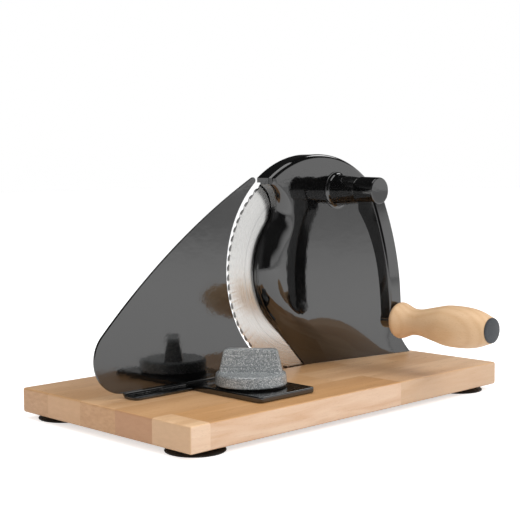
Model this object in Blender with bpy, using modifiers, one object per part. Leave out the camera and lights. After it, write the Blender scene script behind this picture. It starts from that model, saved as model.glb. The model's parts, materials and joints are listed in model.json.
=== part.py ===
"""Manual bread slicer: beech board, cast housing, crank, round blade and a clamped stop plate.

Metres, +Z up. The origin is on the table under the middle of the board. +X runs along the board,
away from the operator, and +Y across it, from the crank's side to the bread's side.
"""

import math

import bmesh
import bpy
from mathutils import Matrix, Vector

# Clearances
GAP = 0.0003  # between pieces that touch or turn in each other
BLADE_GAP = 0.0007  # between the turning blade and the housing

# Board
BOARD_L = 0.345
BOARD_W = 0.196
BOARD_T = 0.019
BOARD_ROUND = 0.0018
BOARD_LIFT = 0.0045  # table to the board's underside

# Suction feet
FOOT_R = 0.02125
FOOT_FROM_END = 0.024
FOOT_FROM_SIDE = 0.023
FOOT_LIP_W = 0.002
FOOT_LIP_H = 0.0007
FOOT_CORE_R = 0.009
FOOT_WEB = 0.0019
FOOT_SCREW_R = 0.0019
FOOT_SCREW_HEAD_R = 0.0042
FOOT_SCREW_HEAD_H = 0.0013
FOOT_SCREW_L = 0.012

# Blade
BLADE_R = 0.0854
BLADE_T = 0.0015
BLADE_TEETH = 68
BLADE_TOOTH_H = 0.001
BLADE_BEVEL_R = 0.0664
BLADE_EDGE_T = 0.0006
BLADE_BORE_R = 0.013
BLADE_FROM_END = 0.1245  # axis to the board's right end
BLADE_FROM_SIDE = 0.1085  # near face to the board's near side
BLADE_DIP = 0.0028  # edge below the board's top
SLOT_SIDE = 0.0014
SLOT_END = 0.004
SLOT_FLOOR = 0.0028

# Gears
CENTRES_SHARE = 0.8237  # distance between the axes, as a share of the blade's radius
GEAR_TEETH = 48
PINION_TEETH = 22
PRESSURE_ANGLE = math.radians(20)
BACKLASH = 0.0003
CENTRE_PLAY = 0.0001
GEAR_T = 0.0055
GEAR_TO_BLADE = 0.0022
HUB_R = 0.021
BLADE_SCREWS = 3
BLADE_SCREW_RING = 0.017
BLADE_SCREW_R = 0.0016
BLADE_SCREW_HEAD_R = 0.003
BLADE_SCREW_HEAD_H = 0.001
BLADE_SCREW_L = 0.0062
PINION_HUB_R = 0.008
CRANK_BEARING = math.radians(66.28)  # direction from the blade's axis to the crank's

# Blade axle
AXLE_R = 0.005
AXLE_INSET = 0.0015  # axle's near end behind the housing's face
AXLE_BOSS_R = 0.0095
AXLE_PAST_BLADE = 0.0005
AXLE_WASHER_R = 0.0134
AXLE_WASHER_T = 0.0008
AXLE_SCREW_R = 0.003
AXLE_SCREW_L = 0.009
AXLE_SCREW_HEAD_R = 0.009
AXLE_SCREW_HEAD_H = 0.0022
COIN_SLOT_W = 0.0018
COIN_SLOT_H = 0.0011

# Housing
WALL = 0.0024
BLADE_ROOM = 0.0022  # round the blade, inside the housing
FACE_TO_BLADE = 0.0135  # flat face to the blade's near face
RIM_COVER = 0.003  # how far the rim reaches past the blade's near face
RIM_PAST_BLADE = 0.0135  # rim's radius over the blade's
RIM_SHIFT_X = 0.0083  # rim's centre from the blade's axis
RIM_SHIFT_Z = -0.0042
RIM_ROUND = 0.004
RIM_TIP_BEARING = math.radians(126.05)  # cut end of the rim, about the rim's centre
CRESCENT_W = 0.0278  # bare part of the blade, up to the window's edge
WINDOW_FLARE = 0.0186  # width of the rounded flank from that edge to the flat face
WINDOW_HOOK_R = 0.0205
WINDOW_HOOK_BEARING = math.radians(138.4)
WINDOW_FOOT_SHIFT = 0.0018  # where the edge meets the board, from the blade's axis
FLANK_FOOT_SHIFT = 0.0485  # where the flank's top line meets the board
HOOK_TURN_IN = math.radians(13)
HOLLOW_SHORT = math.radians(9)  # how far the hollow stops short of the rim's cut end
HOLLOW_HOOK_SHARE = 0.72
SIDE_LEAN = 0.0033
FOOT_FLARE = 0.0108
FOOT_FLARE_H = 0.026
SKIRT_H = 0.045  # height over which the face leans to the foot line
SKIRT_LEFT_BACK = 0.0137  # foot line behind the face under the window's edge
SKIRT_RIGHT_OUT = 0.0085  # foot line in front of the face at the right corner
FLARE_POWER = 1.6
FACE_MIDDLE_X = 0.0343  # where the face's meshing converges, from the blade's axis
FACE_MIDDLE_Z = 0.0348
FACE_RINGS = (0.36, 0.7)
ROUNDING_STEPS = 4
NECK_COLLAR_R = 0.0158
NECK_ROOT_R = 0.0129
NECK_END_R = 0.0107
NECK_L = 0.0262
NECK_FILLET = 0.0036
# Each housing screw: share of the foot's length, distance from the blade, radius of its boss
HOUSING_SCREWS = ((0.3744, 0.0042, 0.0036), (0.5934, 0.007, 0.005), (0.8661, 0.0125, 0.005))
HOUSING_SCREW_R = 0.002
HOUSING_BOSS_H = 0.016
HOUSING_SCREW_BITE = 0.011
HOUSING_SCREW_HEAD_R = 0.0038
HOUSING_SCREW_HEAD_H = 0.0028

# Crank
SHAFT_R = 0.005
SHAFT_SINK = 0.0145
BUSHING_T = 0.0016
THRUST_WASHER_T = 0.0006
KEY_W = 0.003
KEY_SINK = 0.0014
CLIP_T = 0.0008
CLIP_SINK = 0.0008
CLIP_RIM = 0.0018
CLIP_PLAY = 0.0002
CRANK_TILT = math.radians(3.93)
CRANK_R = 0.1057
CRANK_BOSS_R = 0.0114
CRANK_BOSS_END_R = 0.011  # the boss tapers towards the operator
CRANK_BOSS_L = 0.0194
CRANK_BOSS_CHAMFER = 0.0011
ARM_W = 0.0146
ARM_ROUND = 0.002
ARM_END_W = 0.0116
ARM_BACK_SWING = 0.0327  # how far its back edge comes in at the root, less as a power of the way down
ARM_BACK_POWER = 3.15
ARM_FROM_BACK = 0.0005  # least distance from the boss's back
ARM_SET = 0.0122  # how far the arm runs out past the boss end
ARM_TUCK = 0.0044  # how far inside the boss end its curve starts
ARM_CURVE = 0.8  # share of the arm that curves
EYE_INSET = 0.0004
GRUB_R = 0.002
GRUB_FROM_BACK = 0.0068
GRUB_SINK = 0.0006
SPINDLE_R = 0.0035
SPINDLE_HEAD_R = 0.0056
SPINDLE_HEAD_H = 0.0014
GRIP_WASHER_R = 0.0078
GRIP_WASHER_T = 0.0008
NUT_R = 0.0058
NUT_H = 0.0035
NUT_ROOM = 0.0065
GRIP_POCKET_R = 0.0066
GRIP_L = 0.0905
GRIP_STATIONS = (
    (0.0, 0.0112),
    (0.0004, 0.0128),
    (0.0014, 0.014),
    (0.0038, 0.0148),
    (0.0082, 0.0135),
    (0.0126, 0.0118),
    (0.0175, 0.0107),
    (0.0245, 0.0108),
    (0.032, 0.0123),
    (0.0415, 0.0144),
    (0.0495, 0.016),
    (0.0595, 0.0164),
    (0.0705, 0.0159),
    (0.08, 0.0141),
    (0.0905, 0.0102),
)
CAP_R = 0.0098
CAP_SIDE = 0.0012
CAP_DOME = 0.0008
CAP_PLUG_L = 0.0022

# Stop plate and its slide
SLICE = 0.0035  # plate to blade at rest
PLATE_T = 0.002
PLATE_ARC_GAP = 0.0066
PLATE_ARC_RISE = 0.0027
PLATE_TIP_BEARING = math.radians(131.1)
PLATE_TIP_R = 0.0025
PLATE_END_SHIFT = 0.2205  # left extreme, from the blade's axis
PLATE_CORNER_R = 0.0256
PLATE_CORNER_RISE = 0.0297
PLATE_BACK_R = 0.6
FLANGE_REACH = 0.0125
FLANGE_LEFT_SHIFT = 0.1935
FLANGE_RIGHT_SHIFT = 0.0445
FLANGE_CORNER_R = 0.004
BEND_R = 0.0024
SLIDE_W = 0.0573
SLIDE_T = 0.0043
SLIDE_LAP_T = 0.0033  # thickness where the strip laps over the foot
SLIDE_RAMP = 0.009  # length over which it thins
SLIDE_LEFT_SHIFT = 0.1385
SLIDE_FROM_SIDE = 0.0187
SLIDE_CORNER_R = 0.0035
SLIDE_ROUND = 0.0009
SLIDE_OPEN = 0.0125  # travel to thicker slices
SLIDE_CLOSE = 0.0035  # travel to the closed plate
RIVET_R = 0.002
RIVET_HEAD_R = 0.0034
RIVET_HEAD_H = 0.0007
RIVET_SPACING = 0.031
RIVET_BELOW_TOP = 0.0004

# Clamp
KNOB_FROM_SIDE = 0.0581
KNOB_LIFT = 0.001  # air under the knob, round its washer
KNOB_R = 0.0273
KNOB_DISC_H = 0.009
KNOB_DISC_ROUND = 0.0016
KNOB_DRAFT = 0.0008
KNOB_H = 0.0264
KNOB_GRIP_BASE_R = 0.0263  # its ends follow a cone
KNOB_GRIP_TOP_R = 0.0203
KNOB_GRIP_BASE_T = 0.018
KNOB_GRIP_TOP_T = 0.0085
KNOB_GRIP_ROUND = 0.0028
KNOB_GRIP_SINK = 0.0025  # height at which the grip starts inside the disc
KNOB_EDGE = 0.0004
KNOB_TURN = math.radians(-50)
BOLT_R = 0.003
BOLT_HEAD_R = 0.0075
BOLT_HEAD_H = 0.003
BOLT_CHAMFER = 0.0006
INSERT_R = 0.0055
INSERT_H = 0.011
CLAMP_WASHER_R = 0.0115
CLAMP_WASHER_T = 0.0019
PIN_FROM_BOLT = 0.0135
PIN_DEPTH = 0.010
PIN_BELOW_SLIDE = 0.0008

# Places worked out from the sizes above
TOP = BOARD_LIFT + BOARD_T
BLADE_RISE = BLADE_R - BLADE_DIP  # axis above the board
RIM_R = BLADE_R + RIM_PAST_BLADE
WINDOW_R = BLADE_R - CRESCENT_W
BLADE_X = BOARD_L / 2 - BLADE_FROM_END
BLADE_Y = BLADE_FROM_SIDE - BOARD_W / 2
BLADE_Z = TOP + BLADE_RISE
CENTRES = BLADE_R * CENTRES_SHARE
MODULE = 2 * (CENTRES - CENTRE_PLAY) / (GEAR_TEETH + PINION_TEETH)
CRANK_X = BLADE_X + CENTRES * math.cos(CRANK_BEARING)
CRANK_Z = BLADE_Z + CENTRES * math.sin(CRANK_BEARING)
NECK_END = FACE_TO_BLADE + NECK_L  # heights over the blade's near face, towards the operator
INNER_WALL = FACE_TO_BLADE - WALL
BOSS_BACK = NECK_END + THRUST_WASHER_T + 2 * GAP
ARM_NEAR = BOSS_BACK + CRANK_BOSS_L + ARM_SET
EYE_BACK = ARM_NEAR - ARM_END_W - EYE_INSET
GRIP_START = ARM_NEAR + GRIP_WASHER_T + 2 * GAP
PLATE_Y = BLADE_Y - SLICE - PLATE_T  # near face of the stop plate
SLIDE_X = BLADE_X - SLIDE_LEFT_SHIFT + SLIDE_W / 2
SLIDE_Y = SLIDE_FROM_SIDE - BOARD_W / 2
KNOB_Y = KNOB_FROM_SIDE - BOARD_W / 2
SLIDE_TOP = TOP + GAP + SLIDE_T
KNOB_Z = SLIDE_TOP + GAP + KNOB_LIFT
NEAR = (math.pi / 2, 0, 0)  # turns a piece's own axis towards the operator's crank side
TOWARDS_END = (0, math.pi / 2, 0)
PARTS = "manual_bread_slicer"
CUTTERS = "cutters"


def clear_scene():
    for obj in list(bpy.data.objects):
        bpy.data.objects.remove(obj, do_unlink=True)


def collection(name):
    found = bpy.data.collections.get(name)
    if found is None:
        found = bpy.data.collections.new(name)
        bpy.context.scene.collection.children.link(found)
    return found


def material(name, colour, roughness, metallic):
    made = bpy.data.materials.new(name)
    made.use_nodes = True
    made.diffuse_color = (*colour, 1)
    shader = made.node_tree.nodes["Principled BSDF"]
    shader.inputs["Base Color"].default_value = (*colour, 1)
    shader.inputs["Roughness"].default_value = roughness
    shader.inputs["Metallic"].default_value = metallic
    return made


def place(obj, mat, location=(0, 0, 0), rotation=(0, 0, 0), parent=None):
    """Put a piece in the model's collection with its material, place and parent."""
    if mat is None:
        collection(CUTTERS).objects.link(obj)
        obj.hide_render = True
        obj.display_type = "WIRE"
    else:
        collection(PARTS).objects.link(obj)
        obj.data.materials.clear()
        obj.data.materials.append(mat)
    obj.location = location
    obj.rotation_euler = rotation
    obj.parent = parent
    return obj


def joint_empty(name, location, rotation, parent=None):
    empty = bpy.data.objects.new(name, None)
    empty.empty_display_size = 0.02
    collection(PARTS).objects.link(empty)
    empty.location = location
    empty.rotation_euler = rotation
    empty.parent = parent
    return empty


def mesh_object(name, bm):
    mesh = bpy.data.meshes.new(name)
    bm.to_mesh(mesh)
    bm.free()
    mesh.shade_smooth()
    mesh.set_sharp_from_angle(angle=math.radians(35))
    return bpy.data.objects.new(name, mesh)


def box(name, size, mat, location, rotation=(0, 0, 0), parent=None):
    bm = bmesh.new()
    bmesh.ops.create_cube(bm, size=1, matrix=Matrix.Diagonal((*size, 1)))
    return place(mesh_object(name, bm), mat, location, rotation, parent)


def rod(name, radius, low, high, mat, location, rotation=(0, 0, 0), parent=None, sides=16):
    """A cylinder on its own Z axis, from low to high."""
    bm = bmesh.new()
    shift = Matrix.Translation((0, 0, (low + high) / 2))
    bmesh.ops.create_cone(
        bm, cap_ends=True, segments=sides, radius1=radius, radius2=radius, depth=high - low, matrix=shift
    )
    return place(mesh_object(name, bm), mat, location, rotation, parent)


def turned(name, profile, mat, location, rotation=(0, 0, 0), parent=None, steps=24):
    """A profile of (radius, height) points turned about its own Z axis.

    It runs down the outer side. A profile that starts away from the axis is closed into a ring.
    """
    bm = bmesh.new()
    verts = [bm.verts.new((radius, 0, height)) for radius, height in profile]
    for first, second in zip(verts, verts[1:]):
        bm.edges.new((first, second))
    if profile[0][0] > 0:
        bm.edges.new((verts[-1], verts[0]))
    obj = place(mesh_object(name, bm), mat, location, rotation, parent)
    screw = obj.modifiers.new("turn", "SCREW")
    screw.axis = "Z"
    screw.steps = steps
    screw.render_steps = steps
    screw.use_merge_vertices = True
    screw.merge_threshold = 0.00001
    return obj


def bevel(obj, width, segments, angle=math.radians(35)):
    modifier = obj.modifiers.new("round", "BEVEL")
    modifier.width = width
    modifier.segments = segments
    modifier.limit_method = "ANGLE"
    modifier.angle_limit = angle
    return modifier


def boolean(obj, other, operation="DIFFERENCE"):
    """Cut with, or join, another object, which then serves only as a cutter."""
    modifier = obj.modifiers.new(operation.lower(), "BOOLEAN")
    modifier.operation = operation
    modifier.solver = "EXACT"
    modifier.object = other
    return obj


def sheet(name, outlines, thickness, mat, location, rotation=(0, 0, 0), parent=None):
    """A flat outline, with any holes as further outlines, extruded evenly about its own plane."""
    curve = bpy.data.curves.new(name + "_outline", "CURVE")
    curve.dimensions = "2D"
    curve.fill_mode = "BOTH"
    curve.extrude = thickness / 2
    for outline in outlines:
        spline = curve.splines.new("POLY")
        spline.points.add(len(outline) - 1)
        for point, (x, y) in zip(spline.points, outline):
            point.co = (x, y, 0, 1)
        spline.use_cyclic_u = True
    source = bpy.data.objects.new(name + "_outline", curve)
    collection(CUTTERS).objects.link(source)
    graph = bpy.context.evaluated_depsgraph_get()
    mesh = bpy.data.meshes.new_from_object(source.evaluated_get(graph))
    bpy.data.objects.remove(source, do_unlink=True)
    bm = bmesh.new()
    bm.from_mesh(mesh)
    bpy.data.meshes.remove(mesh)
    bmesh.ops.remove_doubles(bm, verts=bm.verts, dist=0.000001)
    if len(outlines) == 1:
        bmesh.ops.dissolve_limit(bm, angle_limit=0.0005, verts=bm.verts, edges=bm.edges)
    bmesh.ops.recalc_face_normals(bm, faces=bm.faces)
    return place(mesh_object(name, bm), mat, location, rotation, parent)


def arc(centre, radius, start, end, count):
    """Points on a circle from one angle to another, ends included."""
    step = (end - start) / (count - 1)
    return [
        (centre[0] + radius * math.cos(start + step * k), centre[1] + radius * math.sin(start + step * k))
        for k in range(count)
    ]


def ring(radius, count):
    return arc((0, 0), radius, 0, 2 * math.pi * (1 - 1 / count), count)


def mixed(a, b, share):
    return a + (b - a) * share


def smooth(share):
    share = min(max(share, 0), 1)
    return share * share * (3 - 2 * share)


def board(beech):
    middle = (0, 0, BOARD_LIFT + BOARD_T / 2)
    body = box("board", (BOARD_L, BOARD_W, BOARD_T), beech, middle)
    bevel(body, BOARD_ROUND, 2)
    half = math.sqrt(BLADE_R**2 - BLADE_RISE**2) + SLOT_END
    depth = BLADE_DIP + SLOT_FLOOR
    size = (2 * half, BLADE_T + 2 * SLOT_SIDE, 2 * depth)
    boolean(body, box("blade_slot", size, None, (BLADE_X, BLADE_Y + BLADE_T / 2, TOP)))
    for k, (x, y, _) in enumerate(housing_screw_places()):
        place_at = (x, y, BOARD_LIFT)
        hole = rod(f"housing_hole_{k}", HOUSING_SCREW_R + GAP, -0.001, BOARD_T + 0.001, None, place_at)
        boolean(body, hole)
        sink = HOUSING_SCREW_HEAD_H + 2 * GAP
        boolean(body, rod(f"housing_sink_{k}", HOUSING_SCREW_HEAD_R + GAP, -0.001, sink, None, place_at))
    bolt_at = (SLIDE_X, KNOB_Y, BOARD_LIFT)
    boolean(body, rod("bolt_hole", BOLT_R + GAP, -0.001, BOARD_T + 0.001, None, bolt_at))
    boolean(body, rod("bolt_sink", BOLT_HEAD_R + GAP, -0.001, BOLT_HEAD_H + 2 * GAP, None, bolt_at))
    pin_at = (SLIDE_X, KNOB_Y - PIN_FROM_BOLT, TOP)
    boolean(body, rod("pin_hole", BOLT_R + GAP, -PIN_DEPTH - GAP, 0.001, None, pin_at))
    for k, (x, y) in enumerate(foot_places().values()):
        deep = FOOT_SCREW_L + GAP
        boolean(body, rod(f"foot_hole_{k}", FOOT_SCREW_R + GAP, -0.001, deep, None, (x, y, BOARD_LIFT)))
    return body


def foot_places():
    x = BOARD_L / 2 - FOOT_FROM_END
    y = BOARD_W / 2 - FOOT_FROM_SIDE
    return {
        "near_left": (-x, -y),
        "near_right": (x, -y),
        "far_left": (-x, y),
        "far_right": (x, y),
    }


def foot(name, x, y, rubber, steel):
    top = BOARD_LIFT - GAP
    hollow = top - FOOT_WEB
    bore = FOOT_SCREW_R + GAP
    profile = [
        (bore, top),
        (FOOT_CORE_R, top),
        (FOOT_R - FOOT_LIP_W, FOOT_LIP_H + 0.0008),
        (FOOT_R, FOOT_LIP_H),
        (FOOT_R, 0),
        (FOOT_R - FOOT_LIP_W, 0),
        (FOOT_CORE_R, hollow),
        (bore, hollow),
    ]
    turned(f"foot_{name}", profile, rubber, (x, y, 0), steps=22)
    seat = hollow - GAP
    screw = [
        (0, BOARD_LIFT + FOOT_SCREW_L - GAP),
        (FOOT_SCREW_R * 0.4, BOARD_LIFT + FOOT_SCREW_L - GAP),
        (FOOT_SCREW_R, BOARD_LIFT + FOOT_SCREW_L - 2 * FOOT_SCREW_R),
        (FOOT_SCREW_R, seat),
        (FOOT_SCREW_HEAD_R, seat),
        (FOOT_SCREW_HEAD_R * 0.7, seat - FOOT_SCREW_HEAD_H),
        (0, seat - FOOT_SCREW_HEAD_H),
    ]
    turned(f"foot_screw_{name}", screw, steel, (x, y, 0), steps=12)


def involute_gear(teeth, turn):
    """Outline of a spur gear with one tooth centred on the angle turn."""
    pitch = MODULE * teeth / 2
    base = pitch * math.cos(PRESSURE_ANGLE)
    tip = pitch + MODULE
    root = pitch - 1.25 * MODULE
    half = math.pi / 2 / teeth - BACKLASH / 2 / pitch
    involute = math.tan(PRESSURE_ANGLE) - PRESSURE_ANGLE
    radii = [root, mixed(base, tip, 0.45), tip]
    points = []
    for tooth in range(teeth):
        middle = turn + 2 * math.pi * tooth / teeth
        flank = []
        for radius in radii:
            pressure = math.acos(min(base / radius, 1))
            flank.append((radius, half + involute - (math.tan(pressure) - pressure)))
        for radius, angle in flank:
            points.append((radius * math.cos(middle - angle), radius * math.sin(middle - angle)))
        for radius, angle in reversed(flank):
            points.append((radius * math.cos(middle + angle), radius * math.sin(middle + angle)))
    return points


def blade_outline():
    """The toothed edge: each tooth rises slowly to its point and falls steeply to the next root."""
    points = []
    for tooth in range(BLADE_TEETH):
        for share, height in ((0, 0), (0.45, 0.8), (0.7, 1)):
            angle = 2 * math.pi * (tooth + share) / BLADE_TEETH
            radius = BLADE_R - BLADE_TOOTH_H * (1 - height)
            points.append((radius * math.cos(angle), radius * math.sin(angle)))
    return points


def blade(axis, steel):
    """A flat disc whose near side is ground to a thin toothed edge."""
    bm = bmesh.new()

    def loop(outline, height):
        return [bm.verts.new((x, y, height)) for x, y in outline]

    def spread(outer, inner):
        """Faces between two rings, each inner edge facing the same number of outer edges."""
        per = len(outer) // len(inner)
        for k, vert in enumerate(inner):
            run = [outer[(k * per + j) % len(outer)] for j in range(per + 1)]
            bm.faces.new(run + [inner[(k + 1) % len(inner)], vert])

    far_edge = loop(blade_outline(), -BLADE_T)
    near_edge = loop(blade_outline(), -BLADE_T + BLADE_EDGE_T)
    ground = loop(ring(BLADE_BEVEL_R, BLADE_TEETH), 0)
    near_bore = loop(ring(BLADE_BORE_R + GAP, BLADE_TEETH // 2), 0)
    far_bore = loop(ring(BLADE_BORE_R + GAP, BLADE_TEETH // 2), -BLADE_T)
    spread(far_edge, near_edge)
    spread(near_edge, ground)
    spread(ground, near_bore)
    spread(near_bore, far_bore)
    spread(far_edge, far_bore)
    bmesh.ops.triangulate(bm, faces=bm.faces)
    bmesh.ops.recalc_face_normals(bm, faces=bm.faces)
    body = place(mesh_object("blade", bm), steel, parent=axis)
    for k, angle in enumerate(blade_screw_angles()):
        at = (BLADE_SCREW_RING * math.cos(angle), BLADE_SCREW_RING * math.sin(angle), 0)
        wide = BLADE_SCREW_R + GAP
        boolean(body, rod(f"blade_hole_{k}", wide, -0.005, 0.005, None, at, parent=axis, sides=12))


def blade_screw_angles():
    return [math.pi / 2 + 2 * math.pi * k / BLADE_SCREWS for k in range(BLADE_SCREWS)]


def blade_set(axis, steel, cast, bright):
    """Blade, gear and screws in the axis frame: its origin is on the blade's near face."""
    blade(axis, steel)
    near = GEAR_TO_BLADE + GEAR_T
    gear = sheet(
        "blade_gear",
        [involute_gear(GEAR_TEETH, CRANK_BEARING), ring(AXLE_R + GAP, 24)],
        GEAR_T,
        cast,
        (0, 0, near - GEAR_T / 2),
        parent=axis,
    )
    pilot = -BLADE_T - 0.0002
    hub = turned(
        "gear_hub",
        [
            (AXLE_R + GAP, near - 0.001),
            (HUB_R, near - 0.001),
            (HUB_R, GAP),
            (BLADE_BORE_R, GAP),
            (BLADE_BORE_R, pilot),
            (AXLE_R + GAP, pilot),
        ],
        None,
        (0, 0, 0),
        parent=axis,
        steps=24,
    )
    boolean(gear, hub, "UNION")
    for k, angle in enumerate(blade_screw_angles()):
        at = (BLADE_SCREW_RING * math.cos(angle), BLADE_SCREW_RING * math.sin(angle), 0)
        wide = BLADE_SCREW_R + GAP
        deep = BLADE_SCREW_L - BLADE_T + 2 * GAP
        boolean(gear, rod(f"gear_hole_{k}", wide, -0.001, deep, None, at, parent=axis, sides=12))
        head = -BLADE_T - GAP
        screw = [
            (0, head + BLADE_SCREW_L),
            (BLADE_SCREW_R, head + BLADE_SCREW_L),
            (BLADE_SCREW_R, head),
            (BLADE_SCREW_HEAD_R, head),
            (BLADE_SCREW_HEAD_R * 0.8, head - BLADE_SCREW_HEAD_H),
            (0, head - BLADE_SCREW_HEAD_H),
        ]
        turned(f"blade_screw_{k + 1}", screw, bright, at, parent=axis, steps=12)


def axle_set(axis, steel, bright):
    """The fixed axle with its washer and coin-slotted screw, on the bread's side."""
    near = FACE_TO_BLADE - AXLE_INSET
    far = -BLADE_T - AXLE_PAST_BLADE
    axle = rod("blade_axle", AXLE_R, far, near, steel, (0, 0, 0), parent=axis)
    deep = far + AXLE_SCREW_L
    thread = rod("axle_thread", AXLE_SCREW_R + GAP, far - 0.001, deep, None, (0, 0, 0), parent=axis)
    boolean(axle, thread)
    washer_top = far - GAP
    washer_low = washer_top - AXLE_WASHER_T
    bore = AXLE_SCREW_R + GAP
    washer = [
        (bore, washer_top),
        (AXLE_WASHER_R, washer_top),
        (AXLE_WASHER_R, washer_low),
        (bore, washer_low),
    ]
    turned("axle_washer", washer, bright, (0, 0, 0), parent=axis)
    head = washer_low - GAP
    screw = [
        (0, far + AXLE_SCREW_L - 2 * GAP),
        (AXLE_SCREW_R, far + AXLE_SCREW_L - 2 * GAP),
        (AXLE_SCREW_R, head),
        (AXLE_SCREW_HEAD_R, head),
        (AXLE_SCREW_HEAD_R, head - AXLE_SCREW_HEAD_H * 0.6),
        (AXLE_SCREW_HEAD_R - 0.001, head - AXLE_SCREW_HEAD_H),
        (0, head - AXLE_SCREW_HEAD_H),
    ]
    bolt = turned("axle_screw", screw, bright, (0, 0, 0), parent=axis)
    slot = (3 * AXLE_SCREW_HEAD_R, COIN_SLOT_W, 2 * COIN_SLOT_H)
    boolean(bolt, box("coin_slot", slot, None, (0, 0, head - AXLE_SCREW_HEAD_H), parent=axis))


def polar(radius, angle, centre=(0, 0)):
    return (centre[0] + radius * math.cos(angle), centre[1] + radius * math.sin(angle))


def tangent_bearing(radius, foot):
    """Bearing at which a line from a point below leaves a circle about the origin, on its left."""
    distance = math.hypot(*foot)
    return math.atan2(foot[1], foot[0]) + 2 * math.pi - math.acos(radius / distance)


def corner_x():
    """Right corner of the housing's foot, from the blade's axis."""
    return RIM_SHIFT_X + RIM_R + SIDE_LEAN + FOOT_FLARE


def face_height(x, y, wall):
    """Height of the near side over the blade's near face: flat, with a skirt that leans to the foot line."""
    over_board = max(y + BLADE_RISE, 0)
    lean = max(1 - over_board / SKIRT_H, 0) ** FLARE_POWER
    share = (x - WINDOW_FOOT_SHIFT) / (corner_x() - WINDOW_FOOT_SHIFT)
    return FACE_TO_BLADE - wall + lean * mixed(-SKIRT_LEFT_BACK, SKIRT_RIGHT_OUT, share)


def housing_contour(wall, hidden):
    """Pairs of an outer point and a face point round the housing, with where the rounding starts.

    Each entry is (outer, inner, start, straightness). The hollow's contour stops short of the
    hook's tip, and both run a little below the board's top, where they are cut off.
    """
    rim = (RIM_SHIFT_X, RIM_SHIFT_Z)
    low = -BLADE_RISE - hidden
    edge = FACE_TO_BLADE - RIM_ROUND
    hollow = wall > 0
    pairs = []
    start = RIM_TIP_BEARING - HOLLOW_SHORT if hollow else RIM_TIP_BEARING
    for k in range(24):
        angle = start * (1 - k / 23)
        inner = min(angle, RIM_TIP_BEARING - RIM_ROUND / RIM_R)
        pairs.append((polar(RIM_R, angle, rim), polar(RIM_R - RIM_ROUND, inner, rim), edge, 0))
    for k in range(1, 9):
        y = mixed(RIM_SHIFT_Z, low, (k / 8) ** 0.75)
        flare = max(1 - max(y + BLADE_RISE, 0) / FOOT_FLARE_H, 0) ** FLARE_POWER
        lean = (RIM_SHIFT_Z - y) / (RIM_SHIFT_Z + BLADE_RISE)
        x = RIM_SHIFT_X + RIM_R + SIDE_LEAN * min(lean, 1) + FOOT_FLARE * flare
        pairs.append(((x, y), (x - RIM_ROUND, y), edge, 0))
    foot = (WINDOW_FOOT_SHIFT, -BLADE_RISE)
    leave = tangent_bearing(WINDOW_R, foot)
    touch = polar(WINDOW_R, leave)
    slope = (foot[0] - touch[0]) / (foot[1] - touch[1])
    below = (foot[0] + slope * (low - foot[1]), low)
    crest_r = WINDOW_R - WINDOW_FLARE
    crest_foot = (FLANK_FOOT_SHIFT, -BLADE_RISE)
    crest_leave = tangent_bearing(crest_r, crest_foot)
    crest_touch = polar(crest_r, crest_leave)
    crest_slope = (crest_foot[0] - crest_touch[0]) / (crest_foot[1] - crest_touch[1])
    crest_below = (crest_foot[0] + crest_slope * (low - crest_foot[1]), low)
    flank = []
    for k in range(8):
        share = k / 7
        outer = tuple(mixed(a, b, share) for a, b in zip(below, touch))
        inner = tuple(mixed(a, b, share) for a, b in zip(crest_below, crest_touch))
        flank.append((outer, inner, BLADE_GAP, 1 - smooth(share)))
    for k in range(1, 11):
        outer = mixed(leave, WINDOW_HOOK_BEARING, k / 10)
        inner = mixed(crest_leave, WINDOW_HOOK_BEARING, k / 10)
        flank.append((polar(WINDOW_R, outer), polar(crest_r, inner), BLADE_GAP, 0))
    hook = polar(WINDOW_R + WINDOW_HOOK_R, WINDOW_HOOK_BEARING)
    begin = WINDOW_HOOK_BEARING - math.pi
    end = math.acos((polar(RIM_R, RIM_TIP_BEARING, rim)[0] - hook[0]) / WINDOW_HOOK_R)
    stop = HOLLOW_HOOK_SHARE if hollow else 1
    for k in range(1, 9):
        share = stop * k / 8
        outer = polar(WINDOW_HOOK_R, mixed(begin, end, share), hook)
        reach = WINDOW_HOOK_R + mixed(WINDOW_FLARE, RIM_ROUND, smooth(share))
        inner = polar(reach, mixed(begin, end - HOOK_TURN_IN, share), hook)
        flank.append((outer, inner, mixed(BLADE_GAP, edge, smooth(share)), 0))
    first = pairs[-1]
    last = flank[0]
    for k in range(1, 7):
        outer = tuple(mixed(a, b, k / 7) for a, b in zip(first[0], last[0]))
        inner = (mixed(first[1][0], last[1][0], k / 7), low)
        start = mixed(first[2], last[2], k / 7)
        pairs.append((outer, (inner[0], inner[1] + GAP), start, 1))
    pairs.extend(flank)
    return pairs


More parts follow.
